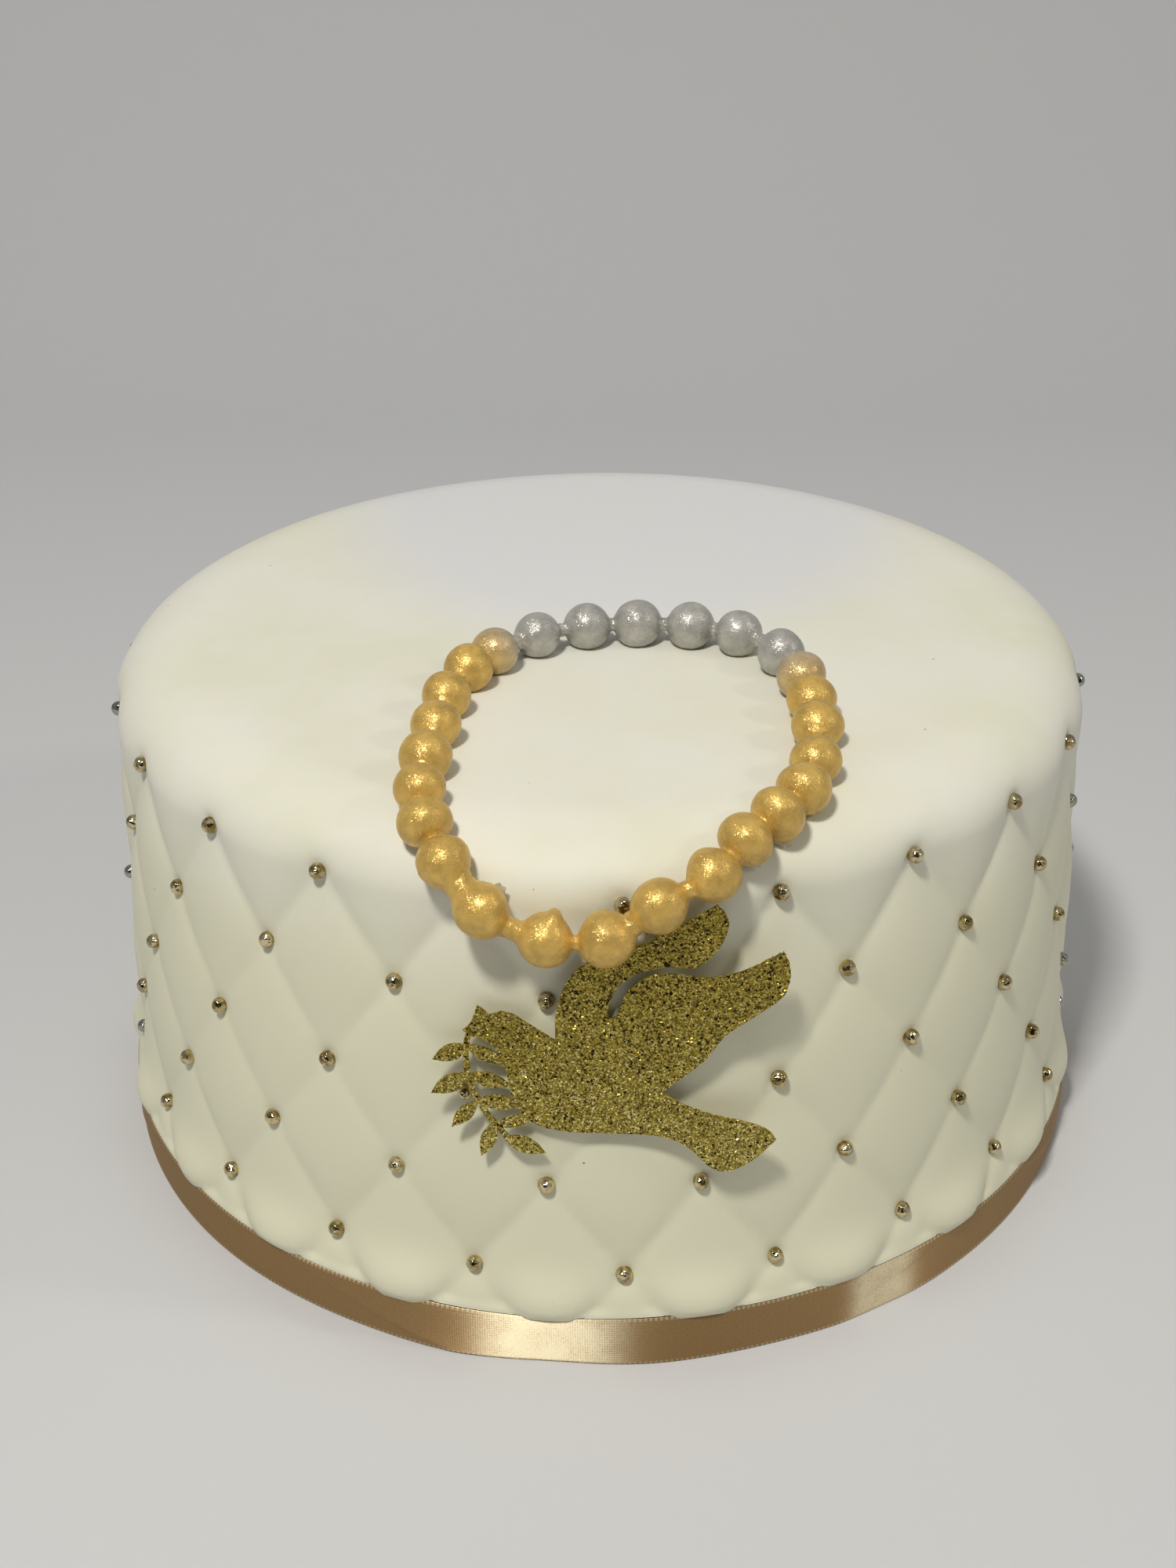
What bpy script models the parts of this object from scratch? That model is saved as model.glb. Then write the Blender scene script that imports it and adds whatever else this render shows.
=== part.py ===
"""Single-tier cake in quilted fondant, with a ribbon, a string of beads and a dove.

Metres, +Z up. The origin is on the cake's axis at its base, and the front faces -Y.
Four pieces: the fondant cake with its dragees pressed in, the satin ribbon round its
foot, the moulded string of beads draped over its front edge, and the glitter-card dove
that leans on the dragees under the beads.
"""
import math
import random

import bpy
import numpy as np
from mathutils import Matrix, Vector, geometry

MM = 0.001

# The cake, a ten-inch round under its sugarpaste
CAKE_HEIGHT = 131.5 * MM
BASE_RADIUS = 126.0 * MM        # crest of the quilting, run down to the base
TAPER = 0.038                   # radius lost for each unit of height
SHOULDER_REACH = 21.0 * MM      # the soft top edge, measured along the top
SHOULDER_DROP = 15.0 * MM       # and down the side
SWELL = 1.9 * MM                # how far the lowest puffs bulge
SWELL_HEIGHT = 16.0 * MM
SWELL_SPREAD = 8.0 * MM

# The quilting, a lattice of diamonds
DIAMONDS_ROUND = 22
DRAGEE_ROWS = 5
LOWEST_ROW = 24.0 * MM
ROW_PITCH = 23.5 * MM
FRONT_TURN = math.radians(2.1)      # the lattice's middle line, right of the front
FRONT_SQUEEZE = math.radians(-1.3)  # the diamonds are a little narrower at the front
QUILT_DEPTH = 1.9 * MM
FOOT_DEPTH = 1.3 * MM               # more depth where the lowest puffs bulge
QUILT_FADE_LOW = 112.0 * MM         # the relief dies out over the top edge
QUILT_FADE_HIGH = 127.0 * MM
COLUMNS_PER_DIAMOND = 4
ROWS_PER_PITCH = 2
SHOULDER_RING_ANGLES = (5.7, 25, 45, 67, 90)    # degrees round the top edge, side to top
LINE_SLACK = 0.05               # a slanting line starts at a column this near it, in diamonds

# The dragees, sugar pearls pressed in where the lines cross
DRAGEE_DIAMETER = 4.3 * MM
DRAGEE_STAND = 0.9 * MM         # its centre stands this far out of the groove
DRAGEE_WANDER = 0.6 * MM        # they are set by hand
DRAGEE_SIDES = 7
DRAGEE_RING_ANGLES = (48, 90, 138)          # degrees from its outermost point
DRAGEE_SEED = 7

# The ribbon round the foot
RIBBON_HEIGHT = 12.7 * MM       # half an inch
RIBBON_THICKNESS = 0.6 * MM
RIBBON_RADIUS = 127.05 * MM     # outside
RIBBON_WAVE = 0.12 * MM
RIBBON_WAVE_COUNTS = (5, 11)    # two trains of waves round the cake
RIBBON_SEGMENTS = 88
LEDGE_RISE = 0.25 * MM          # the fondant runs up behind the ribbon to here above it
LIP_RISE = 0.7 * MM             # and the puffs bulge out over this much more
PIECE_GAP = 0.35 * MM           # clearance between pieces that touch

# The string of beads
BEAD_RADIUS = 5.75 * MM
BEAD_SIDES = 10
BEAD_RING_ANGLES = (-75, -40, 0, 40, 75)    # degrees from the bead's middle
# From each bead to the next, in mm, stretched and squeezed as the string was laid
BEAD_GAPS = [
    13, 12.5, 13, 12.5, 15, 13.5, 12.5, 13.5, 17, 11.5, 10, 10, 10.5,
    13, 13, 12.5, 14.5, 13.5, 10, 10.5, 13.5, 15.5, 15, 15.5, 11, 14,
]
STRING_LIFT = BEAD_RADIUS + PIECE_GAP
STRING_START = 0.4 * MM         # where the first bead sits along the loop
NECK_HALF = 0.4 * MM            # half the shortest neck between two beads
DIRECTION_REACH = 0.5 * MM      # the string's direction is taken this far either side
# The loop's route as if the cake's skin were laid out flat, in mm: x, then y, where a
# distance from the middle greater than the top's radius runs over the edge and down.
STRING_ROUTE = [
    (-15, -24), (10, -17.5), (34, -24), (45.5, -42), (48, -74), (43, -101), (31, -116),
    (23.5, -125.5), (12, -133), (0, -140.5), (-13.5, -140), (-27, -131.5), (-37.5, -109),
    (-37, -80), (-32, -46),
]

# The dove, cut from glitter card
CARD_THICKNESS = 0.9 * MM
CARD_TURN = math.radians(-3.5)  # the card faces this far round from the front
CARD_STAND = 124.7 * MM         # its back's distance from the axis at CARD_LEVEL
CARD_LEVEL = 70.0 * MM
CARD_BEND = 400.0 * MM          # radius of its gentle curve round the cake
# Stretches of its outline in mm on the card: across to the right, then height above the
# base. Each is a smooth curve, and the next starts with a corner.
DOVE_OUTLINE = [
    [(-22.3, 89), (-20.5, 91), (-19, 95.3)],
    [(-19, 95.3), (-17.7, 94.5)],
    [(-17.7, 94.5), (-17.3, 92.8), (-15.6, 93.6), (-12.6, 94.1), (-8.1, 91.3), (-2.6, 87.5)],
    [(-2.6, 87.5), (-2.4, 94), (-0.4, 101.1), (4, 106.6), (10, 109), (17.4, 112), (24, 116),
     (30.9, 120.2)],
    [(30.9, 120.2), (33.3, 116.5), (31.9, 110.8), (27.8, 106), (24.4, 105.4)],
    [(24.4, 105.4), (19.5, 105.5), (14, 103.7), (10.3, 100.2), (8.4, 94.6), (9.3, 92.4),
     (10.5, 94.2), (12.6, 99.8), (16.5, 103.2), (21.5, 104.1), (28.5, 103.1), (36, 104.3),
     (44.9, 108.9)],
    [(44.9, 108.9), (46.4, 104.5), (46, 100), (44.2, 97)],
    [(44.2, 97), (38.5, 92.8), (33.2, 88.7), (28.5, 82.3), (20.2, 74.9)],
    [(20.2, 74.9), (24.6, 71.7), (31.1, 68.9), (38, 66.9), (42.7, 64.7), (44.7, 62)],
    [(44.7, 62), (40.4, 57.4), (35, 54.2), (30.6, 55.3), (25.5, 60.8), (19, 63.6), (9.2, 64.2),
     (-1.5, 64.5), (-8.6, 67), (-12, 73), (-13.6, 81), (-16.3, 86.1), (-20.4, 87.6),
     (-22.3, 89)],
]
OUTLINE_STEP = 2.6 * MM
STEM_ROUTE = [
    (-19.4, 92), (-21.4, 86.5), (-21.7, 80.5), (-20.6, 74.6), (-17.6, 68.2), (-12.6, 61.4),
]
STEM_WIDTH = 1.3 * MM
STEM_STEPS = 10
# Each leaf of the olive spray: where it starts, where it ends, and its width, in mm
LEAVES = [
    ((-20.6, 85.4), (-29, 81.2), 4.0), ((-20.6, 78.4), (-29.6, 72.6), 4.3),
    ((-19.3, 71.6), (-25.4, 64.2), 3.4), ((-15.6, 66.6), (-19.1, 57), 3.5),
    ((-22, 85.4), (-12.6, 80.9), 3.4), ((-22.2, 78), (-12, 75.6), 3.7),
    ((-20.4, 71.4), (-9.8, 71), 3.8), ((-17, 64.9), (-6.2, 68.2), 3.0),
    ((-14.4, 62.5), (-5, 58.6), 4.2),
]
LEAF_STEPS = 4
FLAT_TRIANGLES = 0              # the mode of the flat division that splits everything
FLAT_MERGE = 0.05 * MM          # points nearer than this become one

# Smooth curves are measured on this many points, the longest on the most
EDGE_SAMPLES = 60
STRETCH_SAMPLES = 200
STRING_SAMPLES = 2001

# Edges sharper than this, in degrees, are shaded crisp
CRISP_CAKE = 40.0
CRISP_BEADS = 60.0
CRISP_CARD = 30.0

# Colours, sRGB hex
IVORY = "E4E0CC"
GILT = "B99A4E"
RIBBON_TAN = "B08A58"
BEAD_GOLD = "D9A94C"
GLITTER_GOLD = "9C8A3E"


def linear_colour(code):
    """sRGB hex as linear red, green, blue and an alpha of 1."""
    parts = [int(code[i:i + 2], 16) / 255 for i in (0, 2, 4)]
    return [c / 12.92 if c <= 0.04045 else ((c + 0.055) / 1.055) ** 2.4 for c in parts] + [1.0]


def finish(name, colour, roughness, metallic=0.0):
    material = bpy.data.materials.new(name)
    material.use_nodes = True
    shader = material.node_tree.nodes["Principled BSDF"]
    shader.inputs["Base Color"].default_value = linear_colour(colour)
    shader.inputs["Roughness"].default_value = roughness
    shader.inputs["Metallic"].default_value = metallic
    return material


def add_object(name, points, faces, material, crisp_angle):
    """A named object from points and faces, shaded smooth up to crisp_angle degrees."""
    mesh = bpy.data.meshes.new(name)
    mesh.from_pydata([tuple(p) for p in points], [], [tuple(f) for f in faces])
    mesh.shade_smooth()
    mesh.set_sharp_from_angle(angle=math.radians(crisp_angle))
    mesh.materials.append(material)
    made = bpy.data.objects.new(name, mesh)
    bpy.context.scene.collection.objects.link(made)
    return made


def smooth_step(low, high, value):
    """0 below low, 1 above high, and an S-curve between."""
    t = np.clip((value - low) / (high - low), 0.0, 1.0)
    return t * t * (3 - 2 * t)


def catmull_rom(points, closed):
    """A function from a share of the way, 0 to 1, to the place on the smooth curve."""
    given = np.array(points, dtype=float)
    count = len(given) if closed else len(given) - 1
    if closed:
        padded = np.vstack([given[-1:], given, given[:2]])
    else:
        padded = np.vstack([2 * given[0] - given[1], given, 2 * given[-1] - given[-2]])

    def place(share):
        run = np.clip(np.asarray(share) * count, 0, count - 1e-9)
        i = run.astype(int)
        t = (run - i)[..., None]
        a, b, c, d = (padded[i + k] for k in range(4))
        straight = 2 * b + (c - a) * t
        bent = (2 * a - 5 * b + 4 * c - d) * t ** 2 + (3 * b - 3 * c + d - a) * t ** 3
        return (straight + bent) / 2

    return place


# The shape of the cake


def side_radius(z):
    """Radius at the crests of the puffs: a straight taper with a swelling near the foot."""
    swelling = SWELL * np.exp(-((z - SWELL_HEIGHT) / SWELL_SPREAD) ** 2)
    return BASE_RADIUS - TAPER * z + swelling


SHOULDER_START = CAKE_HEIGHT - SHOULDER_DROP
TOP_RADIUS = side_radius(SHOULDER_START) - SHOULDER_REACH


def shoulder_point(angle):
    """Radius and height on the top edge, a quarter ellipse from the side at 0 to the top."""
    radius = TOP_RADIUS + SHOULDER_REACH * np.cos(angle)
    return radius, SHOULDER_START + SHOULDER_DROP * np.sin(angle)


def lattice_turn(u):
    """Angle from the front of lattice column u, counted in diamonds."""
    even = 2 * np.pi * u / DIAMONDS_ROUND
    return FRONT_TURN + even + FRONT_SQUEEZE * np.sin(even)


def quilt_drop(u, z):
    """How far the fondant lies below its crest: deepest on the two sets of slanting lines."""
    k = (z - LOWEST_ROW) / ROW_PITCH
    rise = np.sqrt(np.abs(np.sin(np.pi * (u + k / 2)) * np.sin(np.pi * (u - k / 2))))
    foot = FOOT_DEPTH * (1 - smooth_step(SWELL_HEIGHT, LOWEST_ROW + ROW_PITCH, z))
    fade = 1 - smooth_step(QUILT_FADE_LOW, QUILT_FADE_HIGH, z)
    return (QUILT_DEPTH * fade + foot) * (1 - rise)


def round_point(radius, turn, z):
    return np.array([radius * np.sin(turn), -radius * np.cos(turn), z])


def cake_rings():
    """Radius and height of each ring of the skin, foot to top, before the quilting."""
    ledge = RIBBON_RADIUS - RIBBON_THICKNESS - PIECE_GAP
    ledge_top = RIBBON_HEIGHT + LEDGE_RISE
    rings = [(ledge, 0.0, False), (ledge, ledge_top, False)]
    for z in (ledge_top + LIP_RISE, SWELL_HEIGHT + LIP_RISE):
        rings.append((side_radius(z), z, True))
    for step in range((DRAGEE_ROWS - 1) * ROWS_PER_PITCH):
        z = LOWEST_ROW + step * ROW_PITCH / ROWS_PER_PITCH
        rings.append((side_radius(z), z, True))
    for degrees in SHOULDER_RING_ANGLES:
        radius, z = shoulder_point(math.radians(degrees))
        rings.append((radius, z, True))
    return rings


def cake_skin():
    """Points and triangles of the quilted cake, split along the slanting lines."""
    columns = DIAMONDS_ROUND * COLUMNS_PER_DIAMOND
    points = []
    rings = cake_rings()
    for radius, z, quilted in rings:
        for column in range(columns):
            u = column / COLUMNS_PER_DIAMOND
            drop = quilt_drop(u, z) if quilted else 0.0
            points.append(round_point(radius - drop, lattice_turn(u), z))
    faces = []
    for ring in range(len(rings) - 1):
        level = (rings[ring][1] - LOWEST_ROW) / ROW_PITCH
        for column in range(columns):
            a = ring * columns + column
            b = ring * columns + (column + 1) % columns
            c, d = b + columns, a + columns
            lean = column / COLUMNS_PER_DIAMOND - level / 2
            if abs(lean - round(lean)) < LINE_SLACK:
                faces += [(a, b, c), (a, c, d)]
            else:
                faces += [(a, b, d), (b, c, d)]
    faces.append(tuple(reversed(range(columns))))
    top = len(points)
    points.append((0.0, 0.0, CAKE_HEIGHT))
    last = (len(rings) - 1) * columns
    faces += [(last + c, last + (c + 1) % columns, top) for c in range(columns)]
    return points, faces


def dragee_mesh(material):
    """A sugar pearl about the origin: rings of a ball round +X, cut off flat at the back."""
    radius = DRAGEE_DIAMETER / 2
    points = [(radius, 0.0, 0.0)]
    for degrees in DRAGEE_RING_ANGLES:
        out = radius * math.cos(math.radians(degrees))
        reach = radius * math.sin(math.radians(degrees))
        for side in range(DRAGEE_SIDES):
            turn = 2 * math.pi * (side + 0.5) / DRAGEE_SIDES
            points.append((out, reach * math.cos(turn), reach * math.sin(turn)))
    faces = []
    for side in range(DRAGEE_SIDES):
        following = (side + 1) % DRAGEE_SIDES
        faces.append((0, 1 + side, 1 + following))
        for ring in range(len(DRAGEE_RING_ANGLES) - 1):
            here, there = 1 + ring * DRAGEE_SIDES, 1 + (ring + 1) * DRAGEE_SIDES
            faces.append((here + side, there + side, there + following, here + following))
    back = 1 + (len(DRAGEE_RING_ANGLES) - 1) * DRAGEE_SIDES
    faces.append(tuple(back + side for side in reversed(range(DRAGEE_SIDES))))
    mesh = bpy.data.meshes.new("dragee")
    mesh.from_pydata(points, [], faces)
    mesh.materials.append(material)
    return mesh


def dragee_places():
    """Where the lines cross, row by row, each moved a little as if set by hand."""
    draw = random.Random(DRAGEE_SEED)
    for row in range(DRAGEE_ROWS):
        for number in range(DIAMONDS_ROUND):
            u = number + 0.5 * (row % 2)
            z = LOWEST_ROW + row * ROW_PITCH
            radius = side_radius(z) - quilt_drop(u, z) + DRAGEE_STAND
            slide = DRAGEE_WANDER * draw.uniform(-1, 1)
            turn = lattice_turn(u) + slide / radius
            yield round_point(radius, turn, z + DRAGEE_WANDER * draw.uniform(-1, 1)), turn


def make_cake(fondant, gilt):
    """The cake and its dragees, joined into one solid."""
    points, faces = cake_skin()
    cake = add_object("fondant_cake", points, faces, fondant, CRISP_CAKE)
    pearls = bpy.data.collections.new("dragees")
    bpy.context.scene.collection.children.link(pearls)
    pearl = dragee_mesh(gilt)
    for place, turn in dragee_places():
        made = bpy.data.objects.new("dragee", pearl)
        outward = Matrix.Rotation(turn - math.pi / 2, 4, "Z")
        made.matrix_world = Matrix.Translation(Vector(place)) @ outward
        pearls.objects.link(made)
    union = cake.modifiers.new("press in the dragees", "BOOLEAN")
    union.operation = "UNION"
    union.operand_type = "COLLECTION"
    union.collection = pearls
    union.solver = "EXACT"
    evaluated = cake.evaluated_get(bpy.context.evaluated_depsgraph_get())
    joined = bpy.data.meshes.new_from_object(evaluated)
    cake.modifiers.clear()
    cake.data = joined
    joined.name = "fondant_cake"
    for made in list(pearls.objects):
        bpy.data.objects.remove(made, do_unlink=True)
    bpy.data.collections.remove(pearls)
    joined.shade_smooth()
    joined.set_sharp_from_angle(angle=math.radians(CRISP_CAKE))


# The ribbon


def make_ribbon(material):
    """A band on its edge: four corners carried round the foot, with a faint wave."""
    points = []
    for segment in range(RIBBON_SEGMENTS):
        turn = 2 * math.pi * segment / RIBBON_SEGMENTS
        slow, quick = (math.sin(count * (turn + 1)) for count in RIBBON_WAVE_COUNTS)
        outside = RIBBON_RADIUS + RIBBON_WAVE * abs(slow + quick) / 2
        inside = outside - RIBBON_THICKNESS
        for radius, z in ((outside, 0), (outside, RIBBON_HEIGHT), (inside, RIBBON_HEIGHT), (inside, 0)):
            points.append(round_point(radius, turn, z))
    faces = []
    for segment in range(RIBBON_SEGMENTS):
        here, there = 4 * segment, 4 * ((segment + 1) % RIBBON_SEGMENTS)
        for corner in range(4):
            following = (corner + 1) % 4
            faces.append((here + corner, there + corner, there + following, here + following))
    add_object("satin_ribbon", points, faces, material, CRISP_CAKE)


# The string of beads


def draped_profile():
    """The cake's outline lifted by the string: distance run from the axis, radius, height."""
    angles = np.linspace(np.pi / 2, 0, EDGE_SAMPLES)
    edge_r, edge_z = shoulder_point(angles)
    edge_r = np.append(edge_r, side_radius(SHOULDER_START / 2))
    edge_z = np.append(edge_z, SHOULDER_START / 2)
    slope_r, slope_z = np.gradient(edge_r), np.gradient(edge_z)
    length = np.hypot(slope_r, slope_z)
    out_r, out_z = -slope_z / length, slope_r / length
    radius = np.concatenate([[0.0], edge_r + STRING_LIFT * out_r])
    height = np.concatenate([[CAKE_HEIGHT + STRING_LIFT], edge_z + STRING_LIFT * out_z])
    run = np.concatenate([[0.0], np.cumsum(np.hypot(np.diff(radius), np.diff(height)))])
    return run, radius, height, np.concatenate([[0.0], out_r]), np.concatenate([[1.0], out_z])


def drape(flat):
    """Places and outward directions on the lifted skin for points laid out flat."""
    run, radius, height, out_r, out_z = draped_profile()
    distance = np.hypot(flat[:, 0], flat[:, 1])
    turn = np.arctan2(flat[:, 0], -flat[:, 1])
    r, z = np.interp(distance, run, radius), np.interp(distance, run, height)
    n_r, n_z = np.interp(distance, run, out_r), np.interp(distance, run, out_z)
    places = np.stack([r * np.sin(turn), -r * np.cos(turn), z], axis=1)
    outward = np.stack([n_r * np.sin(turn), -n_r * np.cos(turn), n_z], axis=1)
    return places, outward / np.linalg.norm(outward, axis=1)[:, None]


def along_curve(run, values, distance):
    """The row of values at a distance run along a closed curve."""
    return np.array([np.interp(distance % run[-1], run, column) for column in values.T])


def make_beads(material):
    """One closed string: circles carried along the draped loop, swelling to a ball at each
    bead and drawing in to a neck between, with beads that stand close squashed to fit."""
    curve = catmull_rom(np.array(STRING_ROUTE) * MM, closed=True)
    fine, outward = drape(curve(np.linspace(0, 1, STRING_SAMPLES)))
    run = np.concatenate([[0.0], np.cumsum(np.linalg.norm(np.diff(fine, axis=0), axis=1))])
    gaps = np.array(BEAD_GAPS) * run[-1] / sum(BEAD_GAPS)
    middles = STRING_START + np.concatenate([[0.0], np.cumsum(gaps)])
    half_length = BEAD_RADIUS * math.sin(math.radians(BEAD_RING_ANGLES[-1]))
    points = []
    for bead in range(len(BEAD_GAPS)):
        for degrees in BEAD_RING_ANGLES:
            angle = math.radians(degrees)
            room = (gaps[bead] if degrees > 0 else gaps[bead - 1]) / 2 - NECK_HALF
            squash = min(1.0, room / half_length)
            along = middles[bead] + squash * BEAD_RADIUS * math.sin(angle)
            reach = BEAD_RADIUS * math.cos(angle)
            centre = along_curve(run, fine, along)
            up = along_curve(run, outward, along)
            forward = along_curve(run, fine, along + DIRECTION_REACH)
            forward -= along_curve(run, fine, along - DIRECTION_REACH)
            forward /= np.linalg.norm(forward)
            across = np.cross(forward, up)
            across /= np.linalg.norm(across)
            up = np.cross(across, forward)
            for side in range(BEAD_SIDES):
                turn = 2 * math.pi * (side + 0.5) / BEAD_SIDES
                points.append(centre + reach * (math.cos(turn) * across + math.sin(turn) * up))
    rings = len(BEAD_GAPS) * len(BEAD_RING_ANGLES)
    faces = []
    for ring in range(rings):
        here, there = ring * BEAD_SIDES, (ring + 1) % rings * BEAD_SIDES
        for side in range(BEAD_SIDES):
            following = (side + 1) % BEAD_SIDES
            faces.append((here + side, there + side, there + following, here + following))
    add_object("bead_string", points, faces, material, CRISP_BEADS)


# The dove


def card_point(across, height, out):
    """A point of the bent card: across and height on it, and out in front of its back."""
    stand = CARD_STAND + out - TAPER * (height - CARD_LEVEL) - across ** 2 / (2 * CARD_BEND)
    sine, cosine = math.sin(CARD_TURN), math.cos(CARD_TURN)
    return (stand * sine + across * cosine, -stand * cosine + across * sine, height)


def outline_points():
    """The dove's outline: each stretch a smooth curve cut into steps of even length."""
    outline = []
    for stretch in DOVE_OUTLINE:
        place = catmull_rom(np.array(stretch) * MM, closed=False)
        fine = place(np.linspace(0, 1, STRETCH_SAMPLES))
        run = np.concatenate([[0.0], np.cumsum(np.linalg.norm(np.diff(fine, axis=0), axis=1))])
        steps = max(1, round(run[-1] / OUTLINE_STEP))
        for step in range(steps):
            outline.append([np.interp(run[-1] * step / steps, run, fine[:, i]) for i in range(2)])
    return np.array(outline)


def stem_points():
    """The spray's stem: a strip STEM_WIDTH wide along its route."""
    curve = catmull_rom(np.array(STEM_ROUTE) * MM, closed=False)
    centre = curve(np.linspace(0, 1, STEM_STEPS + 1))
    forward = np.gradient(centre, axis=0)
    forward /= np.linalg.norm(forward, axis=1)[:, None]
    side = np.stack([-forward[:, 1], forward[:, 0]], axis=1) * STEM_WIDTH / 2
    return np.vstack([centre + side, (centre - side)[::-1]])


def leaf_points(start, end, width):
    """A pointed leaf: two sine arches from start to end, width apart at the middle."""
    start, end = np.array(start) * MM, np.array(end) * MM
    share = np.linspace(0, 1, LEAF_STEPS + 1)[:, None]
    along = start + (end - start) * share
    normal = np.array([start[1] - end[1], end[0] - start[0]]) / np.linalg.norm(end - start)
    bulge = np.sin(np.pi * share) * normal * width * MM / 2
    return np.vstack([along + bulge, (along - bulge)[-2:0:-1]])


def is_inside(point, shape):
    """Whether a line to the right of the point crosses the closed shape an odd number of times."""
    start, end = shape, np.roll(shape, -1, axis=0)
    spans = (start[:, 1] > point[1]) != (end[:, 1] > point[1])
    start, end = start[spans], end[spans]
    share = (point[1] - start[:, 1]) / (end[:, 1] - start[:, 1])
    crossings = start[:, 0] + share * (end[:, 0] - start[:, 0])
    return np.count_nonzero(crossings > point[0]) % 2 == 1


def make_dove(material):
    """Outline, stem and leaves merged into one flat shape, then given the card's bend and
    thickness with both faces split alike."""
    shapes = [outline_points(), stem_points()] + [leaf_points(*leaf) for leaf in LEAVES]
    corners, loops = [], []
    for shape in shapes:
        loops.append(list(range(len(corners), len(corners) + len(shape))))
        corners += [Vector((p[0], p[1])) for p in shape]
    flat, _, triangles, _, _, _ = geometry.delaunay_2d_cdt(
        corners, [], loops, FLAT_TRIANGLES, FLAT_MERGE)
    middles = [sum((flat[i] for i in t), Vector((0, 0))) / 3 for t in triangles]
    triangles = [t for t, middle in zip(triangles, middles)
                 if any(is_inside(middle, shape) for shape in shapes)]
    count = len(flat)
    points = [card_point(p.x, p.y, CARD_THICKNESS) for p in flat]
    points += [card_point(p.x, p.y, 0.0) for p in flat]
    faces = [tuple(t) for t in triangles]
    edges = {(t[i], t[(i + 1) % 3]) for t in triangles for i in range(3)}
    faces += [tuple(i + count for i in reversed(t)) for t in triangles]
    for start, end in sorted(edges):
        if (end, start) not in edges:
            faces.append((end, start, start + count, end + count))
    add_object("dove_topper", points, faces, material, CRISP_CARD)


def main():
    for old in list(bpy.data.objects):
        bpy.data.objects.remove(old, do_unlink=True)
    gold = finish("gilt sugar", GILT, 0.2, 0.9)
    make_cake(finish("ivory fondant", IVORY, 0.45), gold)
    make_ribbon(finish("satin ribbon", RIBBON_TAN, 0.35, 0.2))
    make_beads(finish("pearl lustre beads", BEAD_GOLD, 0.4, 0.35))
    make_dove(finish("gold glitter card", GLITTER_GOLD, 0.5, 0.6))


main()
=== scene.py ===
import math
import random

import bpy
import numpy as np
from mathutils import Matrix, Vector, geometry


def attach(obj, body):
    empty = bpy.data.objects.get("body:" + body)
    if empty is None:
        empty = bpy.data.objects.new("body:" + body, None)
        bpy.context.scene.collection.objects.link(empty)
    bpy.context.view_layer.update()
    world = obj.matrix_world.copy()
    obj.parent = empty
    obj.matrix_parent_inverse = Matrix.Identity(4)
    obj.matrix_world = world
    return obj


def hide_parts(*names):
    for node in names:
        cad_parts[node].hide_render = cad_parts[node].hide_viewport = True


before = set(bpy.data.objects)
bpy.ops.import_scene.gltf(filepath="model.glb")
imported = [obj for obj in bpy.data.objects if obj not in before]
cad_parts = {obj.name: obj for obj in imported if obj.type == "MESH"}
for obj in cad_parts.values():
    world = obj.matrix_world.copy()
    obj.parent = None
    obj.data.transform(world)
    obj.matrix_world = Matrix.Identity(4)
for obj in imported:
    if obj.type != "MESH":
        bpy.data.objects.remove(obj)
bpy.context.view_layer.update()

# The view
# A phone held over the front of the cake and tilted 28 degrees down, upright. The lens is
# given for a 36 mm frame that lies along the picture's long side.
MM = 0.001
LENS_MM = 48.0
LENS_FRAME_MM = 36.0
NEAREST = 10 * MM
EYE = Vector((-2.62, -487.89, 341.55)) * MM
PITCH = math.radians(27.964)
YAW = math.radians(-0.028)
ROLL = math.radians(-0.525)

ahead = Vector((math.sin(YAW) * math.cos(PITCH), math.cos(YAW) * math.cos(PITCH), -math.sin(PITCH)))
level = Vector((math.cos(YAW), -math.sin(YAW), 0.0))
overhead = level.cross(ahead)
picture_right = level * math.cos(ROLL) + overhead * math.sin(ROLL)
picture_up = overhead * math.cos(ROLL) - level * math.sin(ROLL)
camera = bpy.data.objects.new("camera", bpy.data.cameras.new("camera"))
camera.data.lens = LENS_MM
camera.data.sensor_width = LENS_FRAME_MM
camera.data.clip_start = NEAREST
camera.matrix_world = Matrix.Translation(EYE) @ Matrix(
    (picture_right, picture_up, -ahead)).transposed().to_4x4()
bpy.context.scene.collection.objects.link(camera)
bpy.context.scene.camera = camera
bpy.context.scene.view_settings.view_transform = "Standard"

# The light
# One soft lamp above the front and to the left makes the shadows, and a weak one to the
# right puts a second glint on the ribbon. The room fills the rest: a pale ceiling, brighter
# to the right, dimmer walls, and a dark place where the photographer stands.
LAMPS = [                       # name, azimuth, elevation, size in metres, watts, colour
    ("key_light", -21, 57, 0.17, 17.0, "FFFBF3"), ("side_light", 72, 38, 0.14, 2.2, "FFF6E6"),
]
LAMP_DISTANCE = 1.6
LAMP_TARGET = Vector((0, 0, 0.08))
BRIGHTEST = (110, 58)           # azimuth and elevation of the ceiling's brightest place
CEILING_LIGHT = 0.4
WALL_LIGHT = 0.235
PHOTOGRAPHER = (0, 24)          # azimuth and elevation of the dark place
PHOTOGRAPHER_LIGHT = 0.12       # share of the room's light that comes from there
ROOM_WHITE = "FAFBFC"


def linear(code):
    """sRGB hex as linear red, green, blue and an alpha of 1."""
    parts = [int(code[i:i + 2], 16) / 255 for i in (0, 2, 4)]
    return [c / 12.92 if c <= 0.04045 else ((c + 0.055) / 1.055) ** 2.4 for c in parts] + [1.0]


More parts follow.
